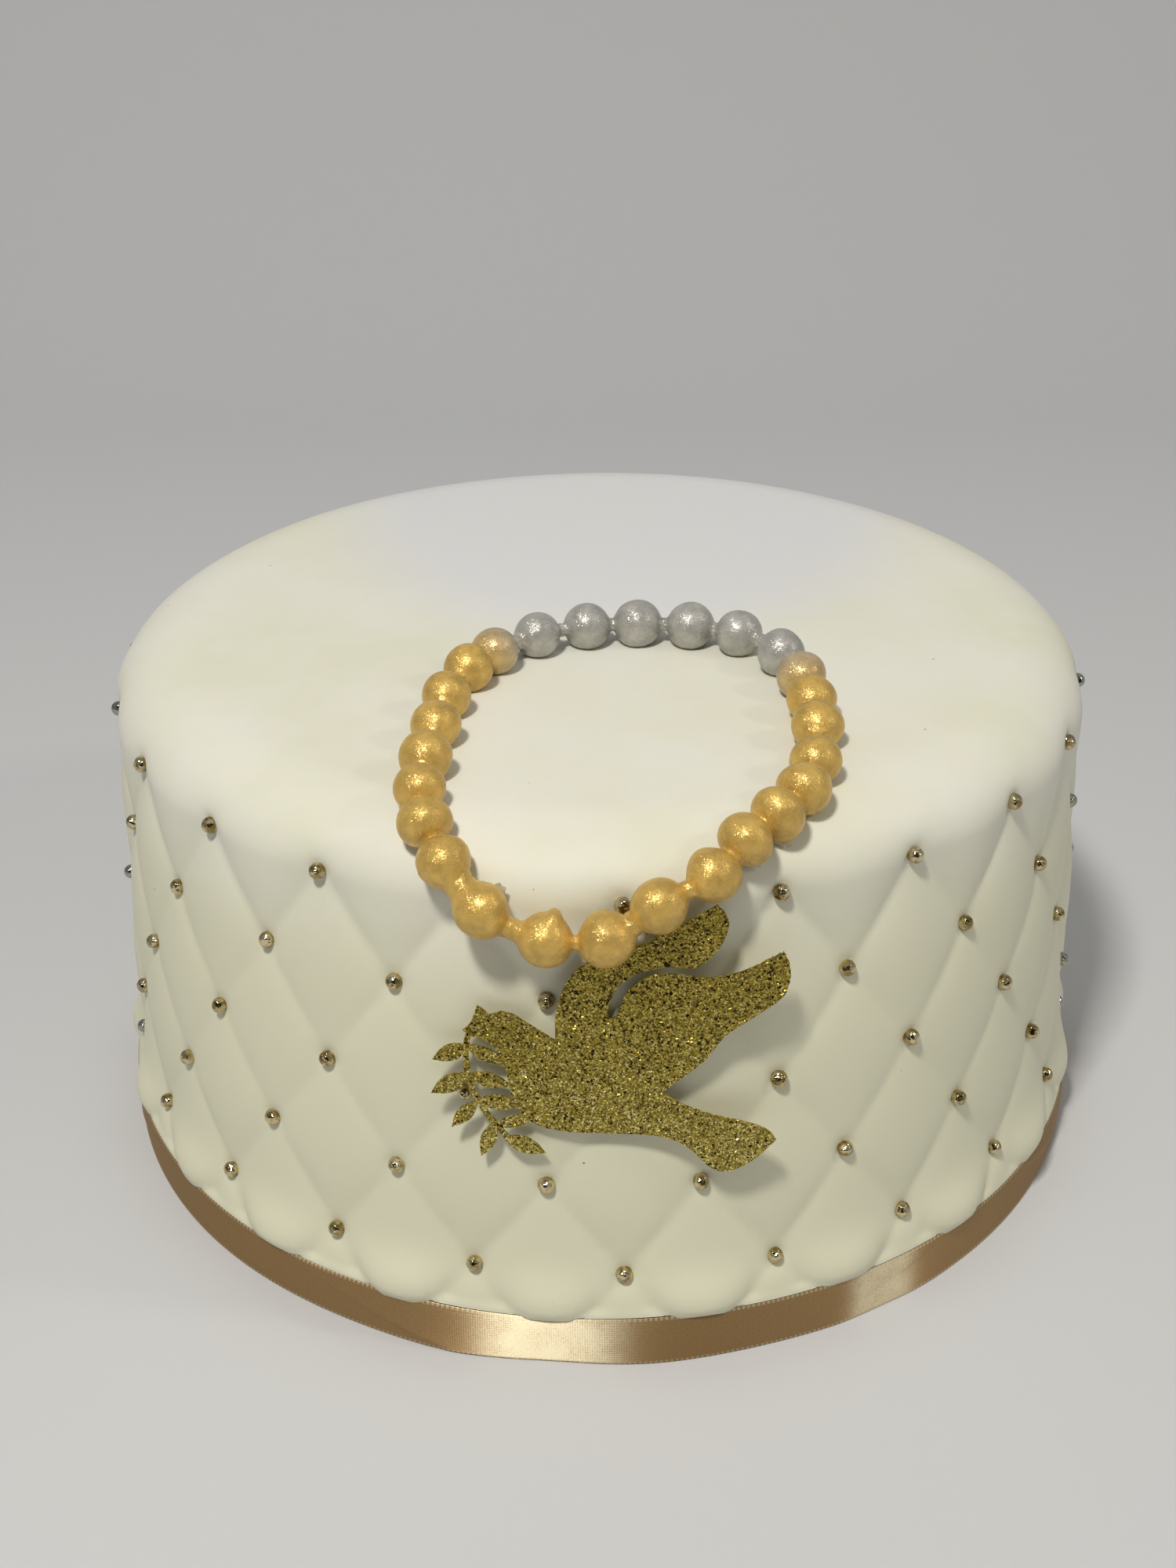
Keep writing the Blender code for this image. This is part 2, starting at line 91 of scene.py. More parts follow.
def add_node(tree, kind, settings=(), inputs=()):
    """A shader node of a kind with its settings, and each input set to a value or linked."""
    made = tree.nodes.new("ShaderNode" + kind)
    for name, value in dict(settings).items():
        setattr(made, name, value)
    for name, value in dict(inputs).items():
        if isinstance(value, bpy.types.NodeSocket):
            tree.links.new(value, made.inputs[name])
        else:
            made.inputs[name].default_value = value
    return made


def toward(azimuth, elevation):
    """The direction at an azimuth from the front, to the right, and an elevation, in degrees."""
    a, e = math.radians(azimuth), math.radians(elevation)
    return Vector((math.cos(e) * math.sin(a), -math.cos(e) * math.cos(a), math.sin(e)))


def lamp(name, azimuth, elevation, size, watts, colour):
    """A square lamp on a ball of radius LAMP_DISTANCE round the cake's middle, facing it."""
    light = bpy.data.lights.new(name, "AREA")
    light.shape = "SQUARE"
    light.size = size
    light.energy = watts
    light.color = linear(colour)[:3]
    away = toward(azimuth, elevation)
    made = bpy.data.objects.new(name, light)
    made.location = LAMP_TARGET + LAMP_DISTANCE * away
    made.rotation_euler = away.to_track_quat("Z", "Y").to_euler()
    bpy.context.scene.collection.objects.link(made)


for lamp_values in LAMPS:
    lamp(*lamp_values)
room = bpy.data.worlds.new("room")
room.use_nodes = True
tree = room.node_tree
direction = add_node(tree, "TexCoord").outputs["Generated"]
steepness = add_node(tree, "VectorMath", {"operation": "DOT_PRODUCT"}, {
    0: direction, 1: toward(*BRIGHTEST)})
height_light = add_node(tree, "MapRange", {"interpolation_type": "SMOOTHSTEP"}, {
    "Value": steepness.outputs["Value"], "From Min": -0.1, "From Max": 0.8,
    "To Min": WALL_LIGHT, "To Max": CEILING_LIGHT})
nearness = add_node(tree, "VectorMath", {"operation": "DOT_PRODUCT"}, {
    0: direction, 1: toward(*PHOTOGRAPHER)})
shaded = add_node(tree, "MapRange", {"interpolation_type": "SMOOTHSTEP"}, {
    "Value": nearness.outputs["Value"], "From Min": 0.72, "From Max": 0.93,
    "To Min": 1.0, "To Max": PHOTOGRAPHER_LIGHT})
strength = add_node(tree, "Math", {"operation": "MULTIPLY"}, {
    0: height_light.outputs["Result"], 1: shaded.outputs["Result"]})
tree.links.new(strength.outputs["Value"], tree.nodes["Background"].inputs["Strength"])
tree.nodes["Background"].inputs["Color"].default_value = linear(ROOM_WHITE)
bpy.context.scene.world = room

# The floor
# A sheet of pale matt studio paper, a hair below the cake's foot. It lies flat under the
# cake and behind it turns up in a quarter circle, so that no edge shows.
FLOOR_DROP = 0.2 * MM
SWEEP_FRONT = -2.5
SWEEP_START = 0.55
SWEEP_RADIUS = 0.45
SWEEP_HEIGHT = 2.5
SWEEP_HALF_WIDTH = 3.0
FLOOR_GREY = "CFD0D2"


def add_piece(name, vertices, faces, smooth=True):
    """A mesh object with these points and faces, linked into the scene."""
    mesh = bpy.data.meshes.new(name)
    mesh.from_pydata(vertices.tolist(), [], faces)
    if smooth:
        mesh.shade_smooth()
    made = bpy.data.objects.new(name, mesh)
    bpy.context.scene.collection.objects.link(made)
    return made


def surface(name, points, wrap_columns=False, wrap_rows=False, close_ends=False):
    """A piece over a grid of points, rows by columns by xyz. With wrap_columns the last
    column joins the first, and with wrap_rows the last row; with close_ends a fan closes
    the first and last rows."""
    rows, columns = points.shape[:2]
    index = np.arange(rows * columns).reshape(rows, columns)
    wide = np.hstack([index, index[:, :1]]) if wrap_columns else index
    full = np.vstack([wide, wide[:1]]) if wrap_rows else wide
    quads = np.stack([full[:-1, :-1], full[:-1, 1:], full[1:, 1:], full[1:, :-1]], axis=-1).reshape(-1, 4)
    vertices = points.reshape(-1, 3)
    faces = quads.tolist()
    if close_ends:
        first, last = len(vertices), len(vertices) + 1
        vertices = np.vstack([vertices, points[0].mean(axis=0), points[-1].mean(axis=0)])
        faces += [(b, a, first) for a, b in zip(full[0, :-1], full[0, 1:])]
        faces += [(a, b, last) for a, b in zip(full[-1, :-1], full[-1, 1:])]
    return add_piece(name, vertices, faces)


def start_material(name):
    """A new material, with its node tree and its shader."""
    material = bpy.data.materials.new(name)
    material.use_nodes = True
    return material, material.node_tree, material.node_tree.nodes["Principled BSDF"]


bend = np.linspace(0, math.pi / 2, 24)
sweep_y = np.concatenate([[SWEEP_FRONT, SWEEP_START], SWEEP_START + SWEEP_RADIUS * np.sin(bend[1:]),
                          [SWEEP_START + SWEEP_RADIUS]])
sweep_z = np.concatenate([[0.0, 0.0], SWEEP_RADIUS * (1 - np.cos(bend[1:])), [SWEEP_HEIGHT]])
sweep = np.zeros((len(sweep_y), 2, 3))
sweep[:, :, 0] = [-SWEEP_HALF_WIDTH, SWEEP_HALF_WIDTH]
sweep[:, :, 1] = sweep_y[:, None]
sweep[:, :, 2] = sweep_z[:, None] - FLOOR_DROP
floor = surface("floor", sweep)
floor_material, _, floor_shader = start_material("pale studio paper")
floor_shader.inputs["Base Color"].default_value = linear(FLOOR_GREY)
floor_shader.inputs["Roughness"].default_value = 0.8
floor.data.materials.append(floor_material)

# The fondant
# One sheet of ivory sugarpaste over a ten-inch round cake, smoothed by hand over the top
# edge and quilted down the side with a diamond embosser. Its lowest puffs hang over the
# ribbon.
CAKE_HEIGHT = 131.5 * MM
BASE_RADIUS = 126.0 * MM
TAPER = 0.038                   # what the radius loses for each unit of height
SHOULDER_REACH = 21.0 * MM      # the rounded top edge's size inward and downward
SHOULDER_DROP = 15.0 * MM
SHOULDER_START = CAKE_HEIGHT - SHOULDER_DROP
SWELL = 1.9 * MM                # the side swells this much just above the ribbon
SWELL_HEIGHT = 16.0 * MM
SWELL_SPREAD = 8.0 * MM
HANDWORK = 0.25 * MM            # unevenness left by the smoother
TOP_WAVE = 0.09 * MM            # the top is a little wavy, and this much lower than flat
TOP_SINK = 0.18 * MM
DIAMONDS_ROUND = 22
DRAGEE_ROWS = 5
LOWEST_ROW = 24.0 * MM
ROW_PITCH = 23.5 * MM
FRONT_TURN = math.radians(2.1)
FRONT_SQUEEZE = math.radians(-1.3)
QUILT_DEPTH = 1.35 * MM         # of the seams half way up
FOOT_DEPTH = 0.9 * MM           # added at the foot
HIGH_DEPTH = 1.2 * MM           # added near the top edge
HIGH_START = 72.0 * MM
QUILT_FADE_LOW = 112.0 * MM
QUILT_FADE_HIGH = 127.0 * MM
PILLOW = 0.44                   # under 1 the pillows are full and the seams narrow
SEAM_SOFT = 0.06                # how far a seam stays from a sharp crease
DRAGEE_STAND = 0.6 * MM         # from the bottom of the seam out to the ball's middle
DRAGEE_WANDER = 0.6 * MM
DRAGEE_SEED = 7
PIT_DEPTH = 0.65 * MM           # the dimple that each dragee is pressed into
PIT_REACH = 2.6 * MM
RIBBON_TOP = 12.7 * MM
RIBBON_FACE = 127.05 * MM
LEDGE = 126.1 * MM              # the fondant behind the ribbon
LEDGE_TOP = RIBBON_TOP + 0.17 * MM
LOBE_FRONT = RIBBON_FACE + 0.35 * MM
FULL_LOBE = LOBE_FRONT + 0.2 * MM       # one that stands out this far hangs all the way
LOBE_HALF = 0.30                # half the width of a hanging lobe, in diamonds
LOBE_HANG = 0.85 * MM           # how far the lobes come down over the ribbon
LOBE_BULGE = 1.7 * MM
LOBE_LEVEL = 15.0 * MM          # where they bulge most
LOBE_SPREAD = 7.0 * MM
LOBE_ROUND = 3.0 * MM           # height of the rounding at a lobe's lower edge
LOBE_SEED = 5
FRONT_LOBES = {                 # diamond: hang, width and bulge, each from -1 to 1
    20: (0.9, 0.6, 0.9), 21: (-0.3, -0.2, 0.0), 0: (-0.1, 0.6, 0.3), 1: (-0.6, 0.2, -0.2),
}
HEM = RIBBON_FACE - 0.2 * MM    # between the lobes the fondant is pressed to the ribbon
HEM_PRESS = 0.05 * MM
HEM_HEIGHT = 1.6 * MM
HEM_START = LEDGE_TOP - 0.02 * MM
HEM_SHARE = 0.032               # this share of the side, at its lower edge, has closer rows
HEM_ROWS = 9
SIDE_ROWS = 87
SHOULDER_ROWS = 22
TOP_RINGS = [0.96, 0.9, 0.82, 0.73, 0.63, 0.53, 0.43, 0.33, 0.24, 0.15, 0.07, 0.02]
COLUMNS_PER_DIAMOND = 28
SHINY_SPOTS = [                 # damp fingertip marks: x, y, z and radius in mm
    (-21, -120.5, 124.5, 3.5), (-9, -128, 19, 5), (22, -126, 46, 3.5),
]
IVORY = "E7E6DA"
IVORY_WARM = "E1E0CC"
# painted shade: the side's ivory is darker and yellower than the top's
SIDE_IVORY_PAINTED_SHADE = "E4E2C8"
COOL_WHITE = "DCDDDF"
COOL_MIDDLE = (0.008, 0.082, 0.131)
COOL_REACH = (0.095, 0.118, 0.03)
CRUMB_BROWN = "8A7B5C"


def smooth_step(low, high, value):
    """0 below low, 1 above high, and an S-curve between."""
    t = np.clip((value - low) / (high - low), 0.0, 1.0)
    return t * t * (3 - 2 * t)


def side_radius(z):
    """Radius at the crests: a straight taper with a bell-shaped swelling near the foot."""
    return BASE_RADIUS - TAPER * z + SWELL * np.exp(-((z - SWELL_HEIGHT) / SWELL_SPREAD) ** 2)


TOP_RADIUS = side_radius(SHOULDER_START) - SHOULDER_REACH


def lattice_turn(u):
    """Angle from the front of lattice column u, counted in diamonds, a little squeezed."""
    even = 2 * np.pi * u / DIAMONDS_ROUND
    return FRONT_TURN + even + FRONT_SQUEEZE * np.sin(even)


def seam_depth(z):
    """Depth of the seams: deeper at the foot and near the top edge, where they fade out."""
    foot = FOOT_DEPTH * (1 - smooth_step(SWELL_HEIGHT, LOWEST_ROW + ROW_PITCH, z))
    high = HIGH_DEPTH * smooth_step(HIGH_START, QUILT_FADE_LOW, z)
    fade = 1 - smooth_step(QUILT_FADE_LOW, QUILT_FADE_HIGH, z)
    return (QUILT_DEPTH + high) * fade + foot


def quilt_drop(u, z):
    """Depth below the crests. The product of two slanting sine waves is 0 on the seams and
    1 in the middle of a diamond; a root of it makes a pillow."""
    k = (z - LOWEST_ROW) / ROW_PITCH
    across = np.sqrt(np.sin(np.pi * (u + k / 2)) ** 2 + SEAM_SOFT ** 2)
    along = np.sqrt(np.sin(np.pi * (u - k / 2)) ** 2 + SEAM_SOFT ** 2)
    rise = np.minimum((across * along) ** PILLOW, 1.0)
    return seam_depth(z) * (1 - rise)


def handwork(turn, z):
    """How far the smoother left the skin out or in: the mean of three slow slanting sines."""
    sines = np.sin(3 * turn + 40 * z) + np.sin(7 * turn - 65 * z + 2) + np.sin(2 * turn + 110 * z + 4)
    return HANDWORK * sines / 3


draw = random.Random(DRAGEE_SEED)
wander = DRAGEE_WANDER * np.array(
    [[[draw.uniform(-1, 1), draw.uniform(-1, 1)] for _ in range(DIAMONDS_ROUND)]
     for _ in range(DRAGEE_ROWS)])
row_number, place_number = np.mgrid[0:DRAGEE_ROWS, 0:DIAMONDS_ROUND]
dragee_u = place_number + 0.5 * (row_number % 2)
crossing_z = LOWEST_ROW + row_number * ROW_PITCH
dragee_radius = side_radius(crossing_z) - seam_depth(crossing_z) + DRAGEE_STAND
dragee_turn = lattice_turn(dragee_u) + wander[:, :, 0] / dragee_radius
dragee_z = crossing_z + wander[:, :, 1]


def pit_drop(u, turn, z):
    """A bell-shaped dimple at the dragee nearest to each point."""
    row = np.clip(np.round((z - LOWEST_ROW) / ROW_PITCH), 0, DRAGEE_ROWS - 1).astype(int)
    number = np.round(u - 0.5 * (row % 2)).astype(int) % DIAMONDS_ROUND
    swing = (turn - dragee_turn[row, number] + np.pi) % (2 * np.pi) - np.pi
    distance = np.hypot(swing * BASE_RADIUS, z - dragee_z[row, number])
    return PIT_DEPTH * np.exp(-(distance / PIT_REACH) ** 2)


# The lowest half diamonds are lobes. They differ in how far they hang by 80%, in width by
# 15% and in bulge by 40%.
u = np.arange(DIAMONDS_ROUND * COLUMNS_PER_DIAMOND) / COLUMNS_PER_DIAMOND
turn = lattice_turn(u)
lobe_draw = np.random.default_rng(LOBE_SEED).uniform(-1, 1, (3, DIAMONDS_ROUND))
for place_round, (hang, half_width, bulge) in FRONT_LOBES.items():
    lobe_draw[:, place_round] = hang, half_width, bulge
lobe_hang, lobe_half, lobe_bulge = lobe_draw[:, np.floor(u).astype(int)]
from_lobe = (u - np.floor(u) - 0.5) / (LOBE_HALF * (1 + 0.15 * lobe_half))
lobe = np.clip(1 - from_lobe ** 2, 0, 1)


def pillow_radius(z):
    """Radius of the quilted side: the crests with handwork and bell-shaped lobes, less the
    seams and dimples."""
    bulge = LOBE_BULGE * (1 + 0.4 * lobe_bulge) * lobe * np.exp(-((z - LOBE_LEVEL) / LOBE_SPREAD) ** 2)
    return side_radius(z) - quilt_drop(u, z) - pit_drop(u, turn, z) + handwork(turn, z) + bulge


# Where a lobe stands out past the ribbon it hangs over it; elsewhere the fondant is pressed
# against the ribbon's back. A quarter circle rounds the lower edge.
past_ribbon = smooth_step(RIBBON_FACE, FULL_LOBE, pillow_radius(LEDGE_TOP + 0 * u))
low_z = HEM_START - LOBE_HANG * (1 + 0.8 * lobe_hang) * past_ribbon
share = np.concatenate([
    np.linspace(0, HEM_SHARE, HEM_ROWS + 1), np.linspace(HEM_SHARE, 1, SIDE_ROWS + 1)[1:]])[:, None]
side_z = low_z + (SHOULDER_START - low_z) * share
side_r = pillow_radius(side_z)
side_r += np.exp(-((side_z - RIBBON_TOP) / HEM_HEIGHT) ** 2) * np.maximum(HEM + HEM_PRESS - side_r, 0)
edge_r = np.clip(side_r[0], HEM, LOBE_FRONT)
rounding = np.sqrt(1 - np.clip(1 - (side_z - low_z) / LOBE_ROUND, 0, 1) ** 2)
side_r = edge_r + (side_r - edge_r) * rounding

# The top edge is a quarter of an ellipse, and the side's relief dies out along it.
lean = np.linspace(0, math.pi / 2, SHOULDER_ROWS + 1)[1:, None]
shoulder_z = SHOULDER_START + SHOULDER_DROP * np.sin(lean) + 0 * u
relief_out = handwork(turn, shoulder_z) - quilt_drop(u, shoulder_z) - pit_drop(u, turn, shoulder_z)
shoulder_r = TOP_RADIUS + (SHOULDER_REACH + relief_out) * np.cos(lean)
top_r = TOP_RADIUS * np.array(TOP_RINGS)[:, None] + 0 * u
top_z = CAKE_HEIGHT + 0 * top_r
flat_share = np.vstack([0 * side_z, smooth_step(0.5, 1.3, lean) + 0 * u, 1 + 0 * top_r])

foot_r = np.stack([LEDGE + 0 * u, LEDGE + 0 * u, edge_r])
foot_z = np.stack([0 * u, LEDGE_TOP + 0 * u, LEDGE_TOP + 0 * u])
radius = np.vstack([foot_r, side_r, shoulder_r, top_r])
height = np.vstack([foot_z, side_z, shoulder_z, top_z])
skin = np.stack([radius * np.sin(turn), -radius * np.cos(turn), height], axis=-1)
slow = np.sin(31 * skin[:, :, 0] + 1) * np.sin(27 * skin[:, :, 1]) + np.sin(
    58 * skin[:, :, 1] + 41 * skin[:, :, 0])
skin[len(foot_z):, :, 2] += flat_share * (TOP_WAVE * slow[len(foot_z):] - TOP_SINK)
fondant = surface("fondant", skin, wrap_columns=True, close_ends=True)


def set_values(piece, name, values, domain="POINT"):
    """One number for each vertex or face of a piece, which its material reads by name."""
    attribute = piece.data.attributes.new(name, "FLOAT", domain)
    attribute.data.foreach_set("value", values.reshape(-1).astype(np.float32))


spots = np.array(SHINY_SPOTS) * MM
away = np.linalg.norm(skin.reshape(-1, 1, 3) - spots[None, :, :3], axis=2) / spots[:, 3]
set_values(fondant, "shine", np.append(np.exp(-away ** 2).sum(axis=1), [0.0, 0.0]))

# Sugarpaste: finely ground sugar and fat, rolled and polished with a smoother, so it is
# satin with a soft, slightly see-through depth, faint drag marks and a few stray crumbs.
material, tree, shader = start_material("rolled sugarpaste")
place = add_node(tree, "TexCoord").outputs["Object"]
mottle = add_node(tree, "TexNoise", {}, {
    "Vector": place, "Scale": 22.0, "Detail": 3.0, "Roughness": 0.55})
mottle_share = add_node(tree, "MapRange", {}, {
    "Value": mottle.outputs["Fac"], "From Min": 0.38, "From Max": 0.66})
ivory = add_node(tree, "Mix", {"data_type": "RGBA"}, {
    "Factor": mottle_share.outputs["Result"], 6: linear(IVORY), 7: linear(IVORY_WARM)})
# The side is painted a little darker and yellower than the top, as painted shade, and the back middle of
# the top is a cooler white.
level_above = add_node(tree, "SeparateXYZ", {}, {"Vector": place}).outputs["Z"]
painted_side_shade_share = add_node(tree, "MapRange", {"interpolation_type": "SMOOTHSTEP"}, {
    "Value": level_above, "From Min": 0.085, "From Max": 0.13, "To Min": 1.0, "To Max": 0.0})
painted_side_shade = add_node(tree, "Mix", {"data_type": "RGBA"}, {
    "Factor": painted_side_shade_share.outputs["Result"], 6: ivory.outputs[2], 7: linear(SIDE_IVORY_PAINTED_SHADE)})
back_middle = add_node(tree, "Mapping", {"vector_type": "TEXTURE"}, {
    "Vector": place, "Location": COOL_MIDDLE, "Scale": COOL_REACH})
round_patch = add_node(tree, "TexGradient", {"gradient_type": "SPHERICAL"}, {
    "Vector": back_middle.outputs["Vector"]})
cool_share = add_node(tree, "MapRange", {"interpolation_type": "SMOOTHSTEP"}, {
    "Value": round_patch.outputs["Fac"], "From Min": 0.0, "From Max": 0.4, "To Max": 0.9})
cooled = add_node(tree, "Mix", {"data_type": "RGBA"}, {
    "Factor": cool_share.outputs["Result"], 6: painted_side_shade.outputs[2], 7: linear(COOL_WHITE)})
crumbs = add_node(tree, "TexVoronoi", {}, {"Vector": place, "Scale": 65.0})
crumb_share = add_node(tree, "MapRange", {}, {
    "Value": crumbs.outputs["Distance"], "From Min": 0.014, "From Max": 0.021,
    "To Min": 0.9, "To Max": 0.0})
body = add_node(tree, "Mix", {"data_type": "RGBA"}, {
    "Factor": crumb_share.outputs["Result"], 6: cooled.outputs[2], 7: linear(CRUMB_BROWN)})
tree.links.new(body.outputs[2], shader.inputs["Base Color"])
# Fingertips that were a little damp leave streaky shiny marks.
satin = add_node(tree, "MapRange", {}, {
    "Value": mottle.outputs["Fac"], "From Min": 0.3, "From Max": 0.7, "To Min": 0.5, "To Max": 0.62})
damp = add_node(tree, "Attribute", {"attribute_name": "shine"}).outputs["Fac"]
smear = add_node(tree, "TexNoise", {}, {
    "Vector": place, "Scale": 380.0, "Detail": 2.0, "Distortion": 1.0})
wet = add_node(tree, "Math", {"operation": "MULTIPLY"}, {0: damp, 1: smear.outputs["Fac"]})
wet_share = add_node(tree, "MapRange", {}, {
    "Value": wet.outputs["Value"], "From Min": 0.12, "From Max": 0.5})
gloss = add_node(tree, "Mix", {"data_type": "FLOAT"}, {
    "Factor": wet_share.outputs["Result"], 2: satin.outputs["Result"], 3: 0.17})
tree.links.new(gloss.outputs[0], shader.inputs["Roughness"])
shader.inputs["IOR"].default_value = 1.38
shader.inputs["Subsurface Weight"].default_value = 0.18
shader.inputs["Subsurface Radius"].default_value = (1.0, 0.75, 0.4)
shader.inputs["Subsurface Scale"].default_value = 3.0 * MM
grain = add_node(tree, "TexNoise", {}, {
    "Vector": place, "Scale": 420.0, "Detail": 3.0, "Roughness": 0.6})
roughened = add_node(tree, "Math", {"operation": "MULTIPLY_ADD"}, {
    0: wet_share.outputs["Result"], 1: smear.outputs["Fac"], 2: grain.outputs["Fac"]})
relief = add_node(tree, "Bump", {}, {
    "Height": roughened.outputs["Value"], "Strength": 0.15, "Distance": 0.12 * MM})
tree.links.new(relief.outputs["Normal"], shader.inputs["Normal"])
fondant.data.materials.append(material)
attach(fondant, "root")
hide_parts("fondant_cake")

# The dragees
# Sugar balls of about 4 mm with a coat of metal leaf, tumbled until they shine, pressed into
# the fondant where the seams cross.
DRAGEE_DIAMETER = 3.8 * MM
DRAGEE_ROUND = 14
DRAGEE_RINGS = 9
DRAGEE_UNEVEN = 0.05            # share by which their sizes differ
SILVER_FROM = math.radians(66)  # round from the front, gilt balls give way to silvered ones
SILVER_FULL = math.radians(80)
GILT = "DCCDA4"
GILT_TARNISHED = "96814F"
SILVERED = "A9AAA4"

# One ball is rings of points between two poles, and each dragee is a turned copy of it.
ball_lean = np.linspace(0, math.pi, DRAGEE_RINGS + 2)[1:-1, None]
ball_turn = np.linspace(0, 2 * math.pi, DRAGEE_ROUND, endpoint=False)
ball = np.stack([np.cos(ball_lean) + 0 * ball_turn, np.sin(ball_lean) * np.cos(ball_turn),
                 np.sin(ball_lean) * np.sin(ball_turn)], axis=-1)
ball = np.concatenate([[[1.0, 0, 0]], ball.reshape(-1, 3), [[-1.0, 0, 0]]])
ring = np.arange(DRAGEE_RINGS * DRAGEE_ROUND).reshape(DRAGEE_RINGS, DRAGEE_ROUND) + 1
beside = np.roll(ring, -1, axis=1)
ball_quads = np.stack([ring[:-1], ring[1:], beside[1:], beside[:-1]], axis=-1).reshape(-1, 4)
ball_caps = np.stack([0 * ring[0], ring[0], beside[0]], axis=-1).tolist()
ball_caps += np.stack([0 * ring[0] + len(ball) - 1, beside[-1], ring[-1]], axis=-1).tolist()

count = dragee_turn.size
sizes = DRAGEE_DIAMETER / 2 * np.random.default_rng(DRAGEE_SEED).uniform(
    1 - DRAGEE_UNEVEN, 1 + DRAGEE_UNEVEN, (count, 1, 3))
sized = ball[None] * sizes
sine, cosine = np.sin(dragee_turn).reshape(-1, 1), np.cos(dragee_turn).reshape(-1, 1)
balls = np.stack([
    sized[:, :, 0] * sine + sized[:, :, 1] * cosine + (dragee_radius * np.sin(dragee_turn)).reshape(-1, 1),
    sized[:, :, 1] * sine - sized[:, :, 0] * cosine - (dragee_radius * np.cos(dragee_turn)).reshape(-1, 1),
    sized[:, :, 2] + dragee_z.reshape(-1, 1)], axis=-1)
first_vertex = (np.arange(count) * len(ball)).reshape(-1, 1, 1)
dragees = add_piece(
    "dragees", balls.reshape(-1, 3), (ball_quads[None] + first_vertex).reshape(-1, 4).tolist()
    + (np.array(ball_caps)[None] + first_vertex).reshape(-1, 3).tolist())
toward_side = np.abs((dragee_turn.reshape(-1, 1) + math.pi) % (2 * math.pi) - math.pi)
silvered = smooth_step(SILVER_FROM, SILVER_FULL, toward_side)
set_values(dragees, "silvered", np.repeat(silvered, len(ball), axis=1))

# Metal leaf over sugar: a mirror with small dents and tarnished patches, warm gold in front
# and silver at the sides.
material, tree, shader = start_material("leafed sugar balls")
place = add_node(tree, "TexCoord").outputs["Object"]
tone = add_node(tree, "TexNoise", {}, {"Vector": place, "Scale": 520.0, "Detail": 2.0})
tarnish = add_node(tree, "MapRange", {}, {
    "Value": tone.outputs["Fac"], "From Min": 0.4, "From Max": 0.62})
gilding = add_node(tree, "Mix", {"data_type": "RGBA"}, {
    "Factor": tarnish.outputs["Result"], 6: linear(GILT), 7: linear(GILT_TARNISHED)})
at_side = add_node(tree, "Attribute", {"attribute_name": "silvered"}).outputs["Fac"]
leaf_colour = add_node(tree, "Mix", {"data_type": "RGBA"}, {
    "Factor": at_side, 6: gilding.outputs[2], 7: linear(SILVERED)})
tree.links.new(leaf_colour.outputs[2], shader.inputs["Base Color"])
shader.inputs["Metallic"].default_value = 1.0
shader.inputs["Roughness"].default_value = 0.09
dents = add_node(tree, "TexNoise", {}, {"Vector": place, "Scale": 700.0, "Detail": 1.0})
relief = add_node(tree, "Bump", {}, {
    "Height": dents.outputs["Fac"], "Strength": 1.0, "Distance": 0.7 * MM})
tree.links.new(relief.outputs["Normal"], shader.inputs["Normal"])
dragees.data.materials.append(material)
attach(dragees, "root")
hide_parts("fondant_cake")

# The ribbon
# Half-inch satin ribbon in champagne gold, drawn tight round the foot as one closed band.
# It is woven with long floats that lie along it, so it shines in upright bands.
RIBBON_THICKNESS = 0.3 * MM
RIBBON_PUFF = 0.18 * MM         # its middle stands off its edges by this much
RIBBON_WAVE = 0.12 * MM
RIBBON_ALONG = 1080
RIBBON_UP = 24
CREASES = [                     # turn at each end, rise at each end, height in mm
    (-0.66, -0.27, 1.05, -0.05, 0.75), (0.40, 0.66, 0.3, 0.8, 0.4), (0.95, 1.25, 0.9, 0.1, 0.4),
    (-1.35, -1.1, 0.1, 0.8, 0.4), (2.3, 2.6, 0.2, 0.9, 0.4), (-2.5, -2.2, 0.9, 0.2, 0.4),
]
TIGHT_SPANS_AND_PAINTED_HIGHLIGHTS = [                       # turn, half width, stand-off in mm at its ends, paleness as a painted highlight
    (-0.1, 0.18, 0.9, 1.2), (0.54, 0.1, 0.3, 1.1), (-1.9, 0.2, 0.6, 0.4), (1.7, 0.2, 0.6, 0.4),
]
RIBBON_GOLD = "A37F4D"
RIBBON_LIGHT = "B9955E"
# the cream of the painted highlight
RIBBON_PAINTED_HIGHLIGHT = "EBDFBC"
RIBBON_EDGE = "D9C8A0"

# The face stands off by half a sine wave from edge to edge and two slow waves round it.
ribbon_turn = np.linspace(-math.pi, math.pi, RIBBON_ALONG, endpoint=False)
rise = np.linspace(0, 1, RIBBON_UP + 1)
grid_turn, grid_rise = np.meshgrid(ribbon_turn, rise)
puff = RIBBON_PUFF * np.sin(math.pi * grid_rise) + RIBBON_WAVE * (
    1 + np.sin(5 * (grid_turn + 1) + 1.5 * grid_rise) + np.sin(11 * (grid_turn + 1) - grid_rise)) / 3
# Where it is pulled tight between two puffs it spans them nearly flat, and there it is painted paler: a
# painted highlight for the sheen's upright bands.
pale = np.zeros_like(puff)
for middle, half, stand, painted_highlight in TIGHT_SPANS_AND_PAINTED_HIGHLIGHTS:
    off = (grid_turn - middle) / half
    puff += stand * MM * off ** 2 * np.exp(1 - off ** 2) * (1 - 0.4 * grid_rise)
    pale += painted_highlight * np.exp(-(off / 0.72) ** 4)
# A crease is a step out along a slanting line, which dies away above the line.
for start, end, start_rise, end_rise, size in CREASES:
    along = (grid_turn - start) / (end - start)
    off = grid_rise - (start_rise + (end_rise - start_rise) * along)
    within = np.exp(-((along - 0.5) / 0.45) ** 4)
    puff += size * MM * within * smooth_step(-0.07, 0.07, off) * np.exp(-np.maximum(off, 0) / 0.4)
